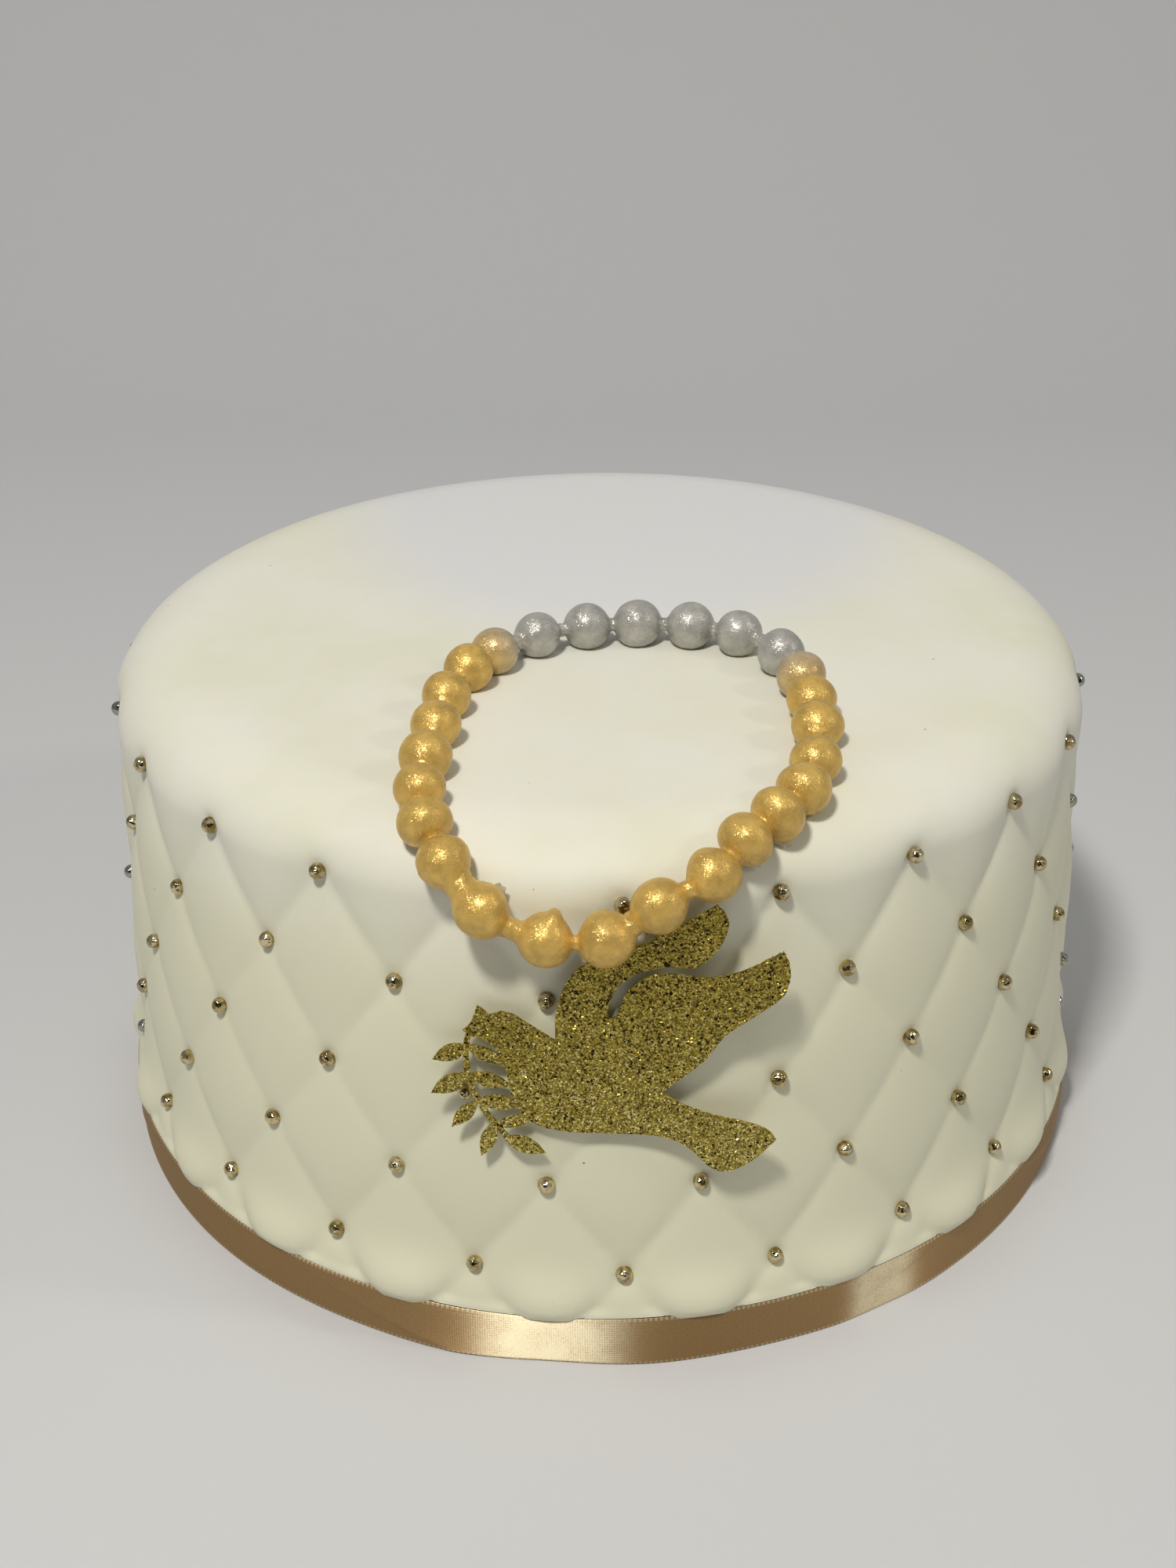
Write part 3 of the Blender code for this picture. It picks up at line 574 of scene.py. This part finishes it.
# The fondant holds its upper edge in.
outer = RIBBON_FACE + puff * (1 - 0.6 * smooth_step(0.85, 1.0, grid_rise))
inner = outer - RIBBON_THICKNESS
radius = np.vstack([outer, inner[::-1]])
height = RIBBON_TOP * np.vstack([grid_rise, grid_rise[::-1]])
turned = np.vstack([grid_turn, grid_turn])
loop = np.stack([radius * np.sin(turned), -radius * np.cos(turned), height], axis=-1)
ribbon = surface("ribbon", loop, wrap_columns=True, wrap_rows=True)
# The pale attribute carries the painted highlight to the material.
set_values(ribbon, "pale", np.vstack([pale, pale[::-1]]))
# The weave's map is in metres, along the ribbon and up it. In the faces that close the ring
# the first column counts as one past the last.
uv = ribbon.data.uv_layers.new(name="weave")
corner_vertex = np.zeros(len(ribbon.data.loops), dtype=np.int64)
ribbon.data.loops.foreach_get("vertex_index", corner_vertex)
columns_of = (corner_vertex % RIBBON_ALONG).reshape(-1, 4)
closing = (columns_of.max(axis=1) - columns_of.min(axis=1) > RIBBON_ALONG / 2)[:, None] & (columns_of == 0)
run = (columns_of + RIBBON_ALONG * closing).reshape(-1) / RIBBON_ALONG * 2 * math.pi * RIBBON_FACE
uv.data.foreach_set("uv", np.stack([run, height.reshape(-1)[corner_vertex]], axis=1).reshape(-1))

# Woven satin: brown gold with a sheen like metal's that runs along the threads. These are
# 0.15 mm across. They are drawn 0.3 mm across and 0.9 mm long, and their crossings in cells
# of about 0.6 mm, so that they show.
material, tree, shader = start_material("woven satin ribbon")
weave = add_node(tree, "UVMap", {"uv_map": "weave"}).outputs["UV"]
floats = add_node(tree, "Mapping", {}, {"Vector": weave, "Scale": (1100.0, 3300.0, 1.0)})
threads = add_node(tree, "TexNoise", {}, {
    "Vector": floats.outputs["Vector"], "Scale": 1.0, "Detail": 2.0, "Roughness": 0.6})
ribs = add_node(tree, "TexWave", {"wave_type": "BANDS", "bands_direction": "X"}, {
    "Vector": weave, "Scale": 570.0, "Distortion": 1.5, "Detail": 2.0, "Detail Scale": 0.5})
rows = add_node(tree, "TexWave", {"wave_type": "BANDS", "bands_direction": "Y"}, {
    "Vector": weave, "Scale": 480.0, "Distortion": 1.5, "Detail": 2.0, "Detail Scale": 0.5})
cells = add_node(tree, "Math", {"operation": "MULTIPLY"}, {
    0: ribs.outputs["Fac"], 1: rows.outputs["Fac"]})
cloth = add_node(tree, "Mix", {"data_type": "FLOAT"}, {
    "Factor": 0.33, 2: threads.outputs["Fac"], 3: cells.outputs["Value"]})
shade = add_node(tree, "MapRange", {}, {
    "Value": cloth.outputs[0], "From Min": 0.25, "From Max": 0.62})
brown = add_node(tree, "Mix", {"data_type": "RGBA"}, {
    "Factor": shade.outputs["Result"], 6: linear(RIBBON_GOLD), 7: linear(RIBBON_LIGHT)})
# Where the pale attribute is high the colour is mixed toward pale cream, textured by the weave and
# patches: a painted highlight of the sheen's bands.
tight = add_node(tree, "Attribute", {"attribute_name": "pale"}).outputs["Fac"]
patchy = add_node(tree, "TexNoise", {}, {"Vector": weave, "Scale": 160.0, "Detail": 2.0})
brushed = add_node(tree, "Math", {"operation": "MULTIPLY_ADD"}, {
    0: shade.outputs["Result"], 1: 0.8, 2: patchy.outputs["Fac"]})
painted_highlight_share = add_node(tree, "Math", {"operation": "MULTIPLY"}, {
    0: tight, 1: brushed.outputs["Value"]})
silk_with_painted_highlight = add_node(tree, "Mix", {"data_type": "RGBA"}, {
    "Factor": painted_highlight_share.outputs["Value"], 6: brown.outputs[2], 7: linear(RIBBON_PAINTED_HIGHLIGHT)})
# The selvedges are bound by a row of thicker stitches 1.2 mm apart.
across_weave = add_node(tree, "SeparateXYZ", {}, {"Vector": weave}).outputs["Y"]
from_middle = add_node(tree, "Math", {"operation": "SUBTRACT"}, {
    0: across_weave, 1: RIBBON_TOP / 2})
off_middle = add_node(tree, "Math", {"operation": "ABSOLUTE"}, {
    0: from_middle.outputs["Value"]})
at_edge = add_node(tree, "MapRange", {}, {
    "Value": off_middle.outputs["Value"], "From Min": RIBBON_TOP / 2 - 0.75 * MM,
    "From Max": RIBBON_TOP / 2 - 0.45 * MM})
stitches = add_node(tree, "TexWave", {"wave_type": "BANDS", "bands_direction": "X"}, {
    "Vector": weave, "Scale": 262.0, "Distortion": 0.6})
stitch_share = add_node(tree, "Math", {"operation": "MULTIPLY"}, {
    0: at_edge.outputs["Result"], 1: stitches.outputs["Fac"]})
bound = add_node(tree, "Mix", {"data_type": "RGBA"}, {
    "Factor": stitch_share.outputs["Value"], 6: silk_with_painted_highlight.outputs[2], 7: linear(RIBBON_EDGE)})
tree.links.new(bound.outputs[2], shader.inputs["Base Color"])
shader.inputs["Metallic"].default_value = 0.6
shader.inputs["IOR"].default_value = 2.2
shader.inputs["Roughness"].default_value = 0.52
shader.inputs["Anisotropic"].default_value = 1.0
shader.inputs["Anisotropic Rotation"].default_value = 0.25
lie = add_node(tree, "Tangent", {"direction_type": "UV_MAP", "uv_map": "weave"})
tree.links.new(lie.outputs["Tangent"], shader.inputs["Tangent"])
relief = add_node(tree, "Bump", {}, {
    "Height": cloth.outputs[0], "Strength": 0.4, "Distance": 0.08 * MM})
tree.links.new(relief.outputs["Normal"], shader.inputs["Normal"])
ribbon.data.materials.append(material)
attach(ribbon, "root")
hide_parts("satin_ribbon")

# The string of beads
# One closed string pressed out of a bead mould in sugarpaste, brushed with lustre dust and
# draped over the front edge. The balls are joined by thin necks and stand unevenly, as the
# string was stretched and squeezed when it was laid.
BEAD_RADIUS = 5.75 * MM
BEAD_GAPS = [                   # from each bead's middle to the next, in mm
    13, 12.5, 13, 12.5, 15, 13.5, 12.5, 13.5, 17, 11.5, 10, 10, 10.5,
    13, 13, 12.5, 14.5, 13.5, 10, 10.5, 13.5, 15.5, 15, 15.5, 11, 14,
]
PIECE_GAP = 0.35 * MM
STRING_LIFT = BEAD_RADIUS + PIECE_GAP
STRING_START = 0.4 * MM
STRING_ROUTE = [                # x and y in mm, with the cake's skin laid out flat
    (-15, -24), (10, -17.5), (34, -24), (45.5, -42), (48, -74), (43, -101), (31, -116),
    (23.5, -125.5), (12, -133), (0, -140.5), (-13.5, -140), (-27, -131.5), (-37.5, -109),
    (-37, -80), (-32, -46),
]
NECK_RADIUS = 1.55 * MM
THICK_NECKS = {                 # after these beads, in mm
    4: 1.7, 11: 2.0, 12: 2.1, 13: 2.0, 14: 2.6, 16: 2.2, 17: 3.3, 24: 1.9, 25: 1.9,
}
NECK_TEAR = 0.22 * MM           # height of the rough places on the necks
BEAD_RINGS = 28
BEAD_SIDES = 40
BEAD_FLAT = 0.8                 # the underside is flat at this share of the radius
SETTLED = 1.5 * MM              # how far the string has sunk where it lies on the top
NUB_BEAD = 16                   # this one kept a nub of sugarpaste on its upper side
NUB_HEIGHT = 1.2 * MM
NUB_BACK = 1.0 * MM             # how far before the bead's middle it stands
NUB_REACH = 2.6 * MM
NUB_SPREAD = 0.55               # radians
FLASH_BEADS = {                 # on which side: 1 inside the loop, -1 outside
    11: -1, 12: -1, 17: 1,
}
FLASH_WIDTH = 2.3 * MM
BEAD_SEED = 3
SILVER_BEADS = 6
GOLD_FROM = 3.0 * MM            # past the last silver bead, gold sets in over this stretch
GOLD_FULL = 25.0 * MM
BEAD_GOLD = "DEB862"
BEAD_SILVER = "BEBCB6"
BEAD_BARE = "E4DDC4"


def cubic(a, b, c, d, t):
    """Places from b to c at shares t of the way, on the cubic whose slope at b and at c is
    half the step between the points on either side."""
    straight = 2 * b + (c - a) * t
    bent = (2 * a - 5 * b + 4 * c - d) * t ** 2 + (3 * b - 3 * c + d - a) * t ** 3
    return (straight + bent) / 2


def closed_curve(points, shares):
    """Places at shares of the way, 0 to 1, round a closed run of cubics through points."""
    padded = np.vstack([points[-1:], points, points[:2]])
    run = np.clip(shares * len(points), 0, len(points) - 1e-9)
    i = run.astype(int)
    return cubic(*(padded[i + k] for k in range(4)), (run - i)[:, None])


def drape(flat):
    """Places and outward directions on the cake's outline, lifted by the string, for points
    laid out flat: the distance from the middle is run along the outline."""
    edge = np.linspace(np.pi / 2, 0, 60)
    edge_r = np.append(TOP_RADIUS + SHOULDER_REACH * np.cos(edge), side_radius(SHOULDER_START / 2))
    edge_z = np.append(SHOULDER_START + SHOULDER_DROP * np.sin(edge), SHOULDER_START / 2)
    slope_r, slope_z = np.gradient(edge_r), np.gradient(edge_z)
    length = np.hypot(slope_r, slope_z)
    out_r = np.concatenate([[0.0], -slope_z / length])
    out_z = np.concatenate([[1.0], slope_r / length])
    r_run = np.concatenate([[0.0], edge_r + STRING_LIFT * out_r[1:]])
    z_run = np.concatenate([[CAKE_HEIGHT + STRING_LIFT], edge_z + STRING_LIFT * out_z[1:]])
    run = np.concatenate([[0.0], np.cumsum(np.hypot(np.diff(r_run), np.diff(z_run)))])
    distance = np.hypot(flat[:, 0], flat[:, 1])
    way = np.arctan2(flat[:, 0], -flat[:, 1])
    r, z, n_r, n_z = (np.interp(distance, run, values) for values in (r_run, z_run, out_r, out_z))
    places = np.stack([r * np.sin(way), -r * np.cos(way), z], axis=1)
    outward = np.stack([n_r * np.sin(way), -n_r * np.cos(way), n_z], axis=1)
    return places, outward / np.linalg.norm(outward, axis=1)[:, None]


fine, fine_out = drape(closed_curve(np.array(STRING_ROUTE) * MM, np.linspace(0, 1, 2001)))
fine_run = np.concatenate([[0.0], np.cumsum(np.linalg.norm(np.diff(fine, axis=0), axis=1))])
string_length = fine_run[-1]


def along_string(values, distance):
    """Rows of values at distances run along the string."""
    wrapped = distance % string_length
    return np.stack([np.interp(wrapped, fine_run, column) for column in values.T], axis=-1)


# Each bead owns the string half way to its neighbours. Its rings follow a circle, narrowed
# lengthwise where a gap is short and widened to make up for it, and blend into the neck as
# the fourth root of both radii's fourth powers.
gaps = np.array(BEAD_GAPS) * string_length / sum(BEAD_GAPS)
middles = STRING_START + np.concatenate([[0.0], np.cumsum(gaps)[:-1]])
before = np.roll(gaps, 1)
step = (np.arange(BEAD_RINGS) + 0.5) / BEAD_RINGS * 2 - 1
room_each = np.where(step[None] < 0, before[:, None], gaps[:, None]) / 2
local = step[None] * room_each
bead_draw = np.random.default_rng(BEAD_SEED).uniform(-1, 1, (4, len(gaps), 1))
squeezed = np.clip(1 - (before + gaps)[:, None] / 4 / BEAD_RADIUS, 0, 1)
ball_radius = BEAD_RADIUS * (1 + 0.03 * bead_draw[0] + 0.6 * squeezed)
squash = np.minimum(1.0, room_each / ball_radius * 1.02)
swell = np.sqrt(np.clip(1 - (local / squash / ball_radius) ** 2, 0, 1)) * ball_radius
necks = np.full(len(gaps), NECK_RADIUS)
necks[list(THICK_NECKS)] = np.array(list(THICK_NECKS.values())) * MM
neck_radius = np.where(step[None] < 0, np.roll(necks, 1)[:, None], necks[:, None])
powers = swell ** 4 + neck_radius ** 4
distance = (middles[:, None] + local).reshape(-1)
centre = along_string(fine, distance)
up = along_string(fine_out, distance)
forward = along_string(fine, distance + 0.5 * MM) - along_string(fine, distance - 0.5 * MM)
forward /= np.linalg.norm(forward, axis=1)[:, None]
across = np.cross(forward, up)
across /= np.linalg.norm(across, axis=1)[:, None]
up = np.cross(across, forward)
around = np.linspace(0, 2 * math.pi, BEAD_SIDES, endpoint=False)
odd = np.repeat(bead_draw[1:], BEAD_RINGS, axis=2).reshape(3, -1, 1)
way_along = distance[:, None]
out_of_round = 0.02 * np.sin(2 * around + 9 * odd[0]) + 0.012 * np.sin(
    3 * around + 9 * odd[1] + way_along / (2.2 * MM))
ring_radius = powers.reshape(-1, 1) ** 0.25 * (1 + out_of_round)
from_nub = np.hypot((way_along - middles[NUB_BEAD] + NUB_BACK) / NUB_REACH,
                    ((around - math.pi + 0.1) % (2 * math.pi) - math.pi) / NUB_SPREAD)
ring_radius += NUB_HEIGHT * (1 - smooth_step(0.45, 1.1, from_nub))
# The necks tore a little and are rough.
neck_part = (neck_radius ** 4 / powers).reshape(-1, 1)
tears = np.sin(5 * around + way_along / (0.35 * MM)) * np.sin(3 * around - way_along / (0.8 * MM))
ring_radius += NECK_TEAR * neck_part * tears
aside = ring_radius * np.cos(around)
upward = ring_radius * np.sin(around)
floor_level = -BEAD_FLAT * BEAD_RADIUS
bare = smooth_step(-0.80, -0.93, upward / BEAD_RADIUS)
upward = np.maximum(upward, floor_level)
# Three beads kept thin flash from the mould, which lies flat beside them with a torn edge.
flash = np.zeros(len(gaps))
flash[list(FLASH_BEADS)] = list(FLASH_BEADS.values())
flash = np.repeat(flash, BEAD_RINGS)[:, None]
torn = 0.75 + 0.25 * np.sin(way_along / (1.1 * MM)) * np.sin(way_along / (0.7 * MM))
lowest_part = smooth_step(floor_level + 0.4 * MM, floor_level, upward)
rim = np.clip(aside * flash / (0.6 * BEAD_RADIUS), 0, 1) * lowest_part
aside += FLASH_WIDTH * flash * torn * rim
upward -= SETTLED * smooth_step(CAKE_HEIGHT - 12 * MM, CAKE_HEIGHT + STRING_LIFT, centre[:, 2:3])
beads_grid = centre[:, None] + aside[:, :, None] * across[:, None] + upward[:, :, None] * up[:, None]
beads = surface("beads", beads_grid, wrap_columns=True, wrap_rows=True)
set_values(beads, "bare", np.maximum(bare, rim))
silver_half = (middles[SILVER_BEADS - 1] - middles[0]) / 2
from_silver = (distance - middles[0] - silver_half + string_length / 2) % string_length - string_length / 2
gold_share = smooth_step(silver_half + GOLD_FROM, silver_half + GOLD_FULL, np.abs(from_silver))
set_values(beads, "gold", np.repeat(gold_share, BEAD_SIDES))

# Sugarpaste under lustre dust: mica flakes that glint one by one over a soft, even gold.
material, tree, shader = start_material("lustre-dusted sugar beads")
place = add_node(tree, "TexCoord").outputs["Object"]
gilded = add_node(tree, "Attribute", {"attribute_name": "gold"}).outputs["Fac"]
# Mica flakes are 0.05 to 0.1 mm; drawn at 0.2 mm so that they show. Each lies at its own
# angle, and the steepest glint by themselves.
flakes = add_node(tree, "TexVoronoi", {}, {"Vector": place, "Scale": 5000.0})
patches = add_node(tree, "TexNoise", {}, {
    "Vector": place, "Scale": 240.0, "Detail": 4.0, "Roughness": 0.65})
pearl = add_node(tree, "Mix", {"data_type": "RGBA"}, {
    "Factor": gilded, 6: linear(BEAD_SILVER), 7: linear(BEAD_GOLD)})
worn = add_node(tree, "MapRange", {}, {
    "Value": patches.outputs["Fac"], "From Min": 0.35, "From Max": 0.68, "To Min": 0.72, "To Max": 1.08})
dusted = add_node(tree, "VectorMath", {"operation": "SCALE"}, {
    0: pearl.outputs[2], "Scale": worn.outputs["Result"]})
# The underside was never dusted and shows as a pale line against the cake.
underside = add_node(tree, "Attribute", {"attribute_name": "bare"}).outputs["Fac"]
coated = add_node(tree, "Mix", {"data_type": "RGBA"}, {
    "Factor": underside, 6: dusted.outputs["Vector"], 7: linear(BEAD_BARE)})
tree.links.new(coated.outputs[2], shader.inputs["Base Color"])
dust_share = add_node(tree, "MapRange", {}, {
    "Value": underside, "To Min": 0.36, "To Max": 0.0})
tree.links.new(dust_share.outputs["Result"], shader.inputs["Metallic"])
shader.inputs["Subsurface Weight"].default_value = 0.15
shader.inputs["Subsurface Radius"].default_value = (1.0, 0.6, 0.25)
shader.inputs["Subsurface Scale"].default_value = 1.5 * MM
flake_gloss = add_node(tree, "MapRange", {}, {
    "Value": flakes.outputs["Distance"], "From Min": 0.0, "From Max": 0.8, "To Min": 0.22, "To Max": 0.42})
tree.links.new(flake_gloss.outputs["Result"], shader.inputs["Roughness"])
chance = add_node(tree, "SeparateXYZ", {}, {"Vector": flakes.outputs["Color"]}).outputs["X"]
lift = add_node(tree, "MapRange", {}, {
    "Value": chance, "From Min": 0.4, "From Max": 0.95, "To Min": 0.2, "To Max": 0.62})
tilt = add_node(tree, "VectorMath", {"operation": "SUBTRACT"}, {
    0: flakes.outputs["Color"], 1: (0.5, 0.5, 0.5)})
tilt = add_node(tree, "VectorMath", {"operation": "SCALE"}, {
    0: tilt.outputs["Vector"], "Scale": lift.outputs["Result"]})
normal = add_node(tree, "NewGeometry").outputs["Normal"]
tilted = add_node(tree, "VectorMath", {"operation": "ADD"}, {
    0: normal, 1: tilt.outputs["Vector"]})
facing = add_node(tree, "VectorMath", {"operation": "NORMALIZE"}, {0: tilted.outputs["Vector"]})
tree.links.new(facing.outputs["Vector"], shader.inputs["Normal"])
beads.data.materials.append(material)
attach(beads, "root")
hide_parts("bead_string")

# The dove
# A dove with an olive spray, cut from card that is coated with coarse gold glitter. The
# outline is the CAD card's front edge, drawn smooth between its corners, and its front is a
# net of triangles, each a flake of glitter.
CARD_THICKNESS = 0.9 * MM
CARD_TURN = math.radians(-3.5)
CARD_STAND = 124.7 * MM         # its back's distance from the axis, at CARD_LEVEL
CARD_LEVEL = 70.0 * MM
CARD_BEND = 400.0 * MM          # radius of its curve
CORNER_TURN = math.radians(32)  # a sharper turn of the outline is a corner
EDGE_STEP = 0.5 * MM
CARD_BACK = 0.45 * MM
TIP_REACH = 7.0 * MM            # the near wing's tip is torn over this length
TIP_RAGGED = 0.28 * MM
GLITTER_STEP = 0.37 * MM
GLITTER_JITTER = 0.42           # share of a step that a grain is moved from the even grid
GLITTER_RELIEF = 0.11 * MM
RELIEF_ROOM = 0.1 * MM
PIT_SHARE = 0.06                # share of the grains that are missing
GLITTER_PIT = 0.2 * MM
GLITTER_SEED = 11
GLITTER_SHADES = [              # place in the spread of grains, and colour
    (0.0, "14110A"), (0.1, "352B10"), (0.22, "7A6A28"), (0.6, "A08C38"), (0.88, "C8B458"), (1.0, "F4EBA6"),
]


def card_place(across, height, out):
    """Places on the bent card: across and height on it, and out in front of its back. It
    leans with the cake's taper and curves round it as a shallow parabola."""
    stand = CARD_STAND + out - TAPER * (height - CARD_LEVEL) - across ** 2 / (2 * CARD_BEND)
    sine, cosine = math.sin(CARD_TURN), math.cos(CARD_TURN)
    return np.stack([stand * sine + across * cosine, -stand * cosine + across * sine, height], axis=-1)


def front_edges(node):
    """Closed loops of (across, height) round the front face of the CAD card: the edges that
    only one of its front triangles has, chained end to end."""
    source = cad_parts[node].data
    source.calc_loop_triangles()
    corners = np.zeros(len(source.vertices) * 3)
    source.vertices.foreach_get("co", corners)
    corners = corners.reshape(-1, 3)
    triangles = np.zeros(len(source.loop_triangles) * 3, dtype=np.int64)
    source.loop_triangles.foreach_get("vertices", triangles)
    across = corners[:, 0] * math.cos(CARD_TURN) + corners[:, 1] * math.sin(CARD_TURN)
    stand = corners[:, 0] * math.sin(CARD_TURN) - corners[:, 1] * math.cos(CARD_TURN)
    out = stand - CARD_STAND + TAPER * (corners[:, 2] - CARD_LEVEL) + across ** 2 / (2 * CARD_BEND)
    keys = np.round(np.stack([across, corners[:, 2]], axis=1) / (0.01 * MM)).astype(int)
    _, first, same = np.unique(keys, axis=0, return_index=True, return_inverse=True)
    same = same.reshape(-1)
    front = triangles.reshape(-1, 3)
    front = same[front[(out[front] > CARD_THICKNESS / 2).all(axis=1)]]
    edges = {(t[i], t[(i + 1) % 3]) for t in front.tolist() for i in range(3)}
    following = {}
    for start, end in edges:
        if (end, start) not in edges:
            following.setdefault(start, []).append(end)
    flat = np.stack([across, corners[:, 2]], axis=1)[first]
    loops = []
    while following:
        start = min(following)
        chain = [start]
        while True:
            ends = following[chain[-1]]
            end = ends.pop()
            if not ends:
                del following[chain[-1]]
            if end == start:
                break
            chain.append(end)
        loops.append(flat[chain])
    return loops


def smoothed(loop):
    """The loop with every stretch between two corners redrawn as a smooth curve and cut
    into steps of EDGE_STEP."""
    into = loop - np.roll(loop, 1, axis=0)
    onward = np.roll(loop, -1, axis=0) - loop
    bent = np.arctan2(into[:, 0] * onward[:, 1] - into[:, 1] * onward[:, 0], (into * onward).sum(axis=1))
    corners = np.flatnonzero(np.abs(bent) > CORNER_TURN)
    if len(corners) == 0:
        corners = np.array([0])
    redrawn = []
    for first, last in zip(corners, np.append(corners[1:], corners[0] + len(loop))):
        stretch = loop[np.arange(first, last + 1) % len(loop)]
        ends = np.vstack([2 * stretch[0] - stretch[1], stretch, 2 * stretch[-1] - stretch[-2]])
        for a, b, c, d in zip(ends[:-3], ends[1:-2], ends[2:-1], ends[3:]):
            steps = max(1, round(float(np.linalg.norm(c - b)) / EDGE_STEP))
            redrawn.append(cubic(a, b, c, d, (np.arange(steps) / steps)[:, None]))
    return np.vstack(redrawn)


outlines = [smoothed(loop) for loop in front_edges("dove_topper")]
dice = np.random.default_rng(GLITTER_SEED)
lowest = np.min([o.min(axis=0) for o in outlines], axis=0)
highest = np.max([o.max(axis=0) for o in outlines], axis=0)
for outline in outlines:
    torn = (outline[:, :1] > highest[0] - TIP_REACH) & (outline[:, 1:] > (lowest[1] + highest[1]) / 2)
    outline += torn * dice.uniform(-1, 0.3, outline.shape) * TIP_RAGGED
grid_x, grid_y = np.meshgrid(*(np.arange(a, b, GLITTER_STEP) for a, b in zip(lowest, highest)))
scatter = np.stack([grid_x.ravel(), grid_y.ravel()], axis=1)
scatter += dice.uniform(-GLITTER_JITTER, GLITTER_JITTER, scatter.shape) * GLITTER_STEP


def inside_count(points):
    """How many outline edges a line to the right of each point crosses: odd if inside."""
    count = np.zeros(len(points), dtype=int)
    for outline in outlines:
        for start, end in zip(outline, np.roll(outline, -1, axis=0)):
            spans = (start[1] > points[:, 1]) != (end[1] > points[:, 1])
            if spans.any():
                share = (points[spans, 1] - start[1]) / (end[1] - start[1])
                count[spans] += start[0] + share * (end[0] - start[0]) > points[spans, 0]
    return count


# The grains inside the outline and the outline's own points are joined into triangles.
scatter = scatter[inside_count(scatter) % 2 == 1]
given = [Vector(p) for p in np.vstack(outlines + [scatter])]
rims, base = [], 0
for outline in outlines:
    rims += [(base + i, base + (i + 1) % len(outline)) for i in range(len(outline))]
    base += len(outline)
flat, _, faces, _, _, _ = geometry.delaunay_2d_cdt(given, rims, [], 0, 0.02 * MM)
flat = np.array([tuple(p) for p in flat])
faces = np.array([tuple(f) for f in faces])
faces = faces[inside_count(flat[faces].mean(axis=1)) % 2 == 1]
edges = np.concatenate([faces[:, [0, 1]], faces[:, [1, 2]], faces[:, [2, 0]]]).astype(np.int64)
count = len(flat)
# An edge that no other triangle has the other way round is on the rim.
rim = edges[~np.isin(edges[:, 0] * count + edges[:, 1], edges[:, 1] * count + edges[:, 0])]
at_rim = np.isin(np.arange(count), rim.ravel())
pitted = (dice.random(count) < PIT_SHARE) & ~at_rim
bump = np.where(at_rim, -0.3, dice.uniform(-1, 1, count)) * GLITTER_RELIEF - GLITTER_PIT * pitted
front = card_place(flat[:, 0], flat[:, 1], CARD_THICKNESS - RELIEF_ROOM + bump)
back = card_place(flat[:, 0], flat[:, 1], CARD_BACK + 0 * flat[:, 0])
walls = np.stack([rim[:, 1], rim[:, 0], rim[:, 0] + count, rim[:, 1] + count], axis=1)
dove = add_piece(
    "dove", np.vstack([front, back]),
    faces.tolist() + (faces[:, ::-1] + count).tolist() + walls.tolist(), smooth=False)
# Each flake's place in GLITTER_SHADES: lower flakes are painted lighter, and fewer are missing there, as
# painted light.
tint = dice.uniform(0.15, 1, len(dove.data.polygons))
painted_light_lowness = (highest[1] - flat[faces].mean(axis=1)[:, 1]) / (highest[1] - lowest[1])
tint[:len(faces)] = np.clip(tint[:len(faces)] + 0.2 * (painted_light_lowness - 0.5), 0.12, 1)
missing = (pitted[faces].any(axis=1) & (dice.random(len(faces)) < 0.6 - 0.4 * painted_light_lowness)) | (
    dice.random(len(faces)) < 0.09)
tint[:len(faces)][missing] = dice.uniform(0, 0.16, missing.sum())
set_values(dove, "grain", tint, "FACE")

# Glitter: flat flakes of metallised film about 0.4 mm wide, each at its own angle, with
# dark pits where a flake is missing.
material, tree, shader = start_material("gold glitter card")
grain = add_node(tree, "Attribute", {"attribute_name": "grain"}).outputs["Fac"]
ramp = add_node(tree, "ValToRGB", {}, {"Fac": grain})
stops = ramp.color_ramp.elements
for _ in GLITTER_SHADES[2:]:
    stops.new(0.5)
for stop, (spot, shade) in zip(stops, GLITTER_SHADES):
    stop.position = spot
    stop.color = linear(shade)
tree.links.new(ramp.outputs["Color"], shader.inputs["Base Color"])
shader.inputs["Metallic"].default_value = 0.85
shader.inputs["Roughness"].default_value = 0.38
dove.data.materials.append(material)
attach(dove, "root")
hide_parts("dove_topper")
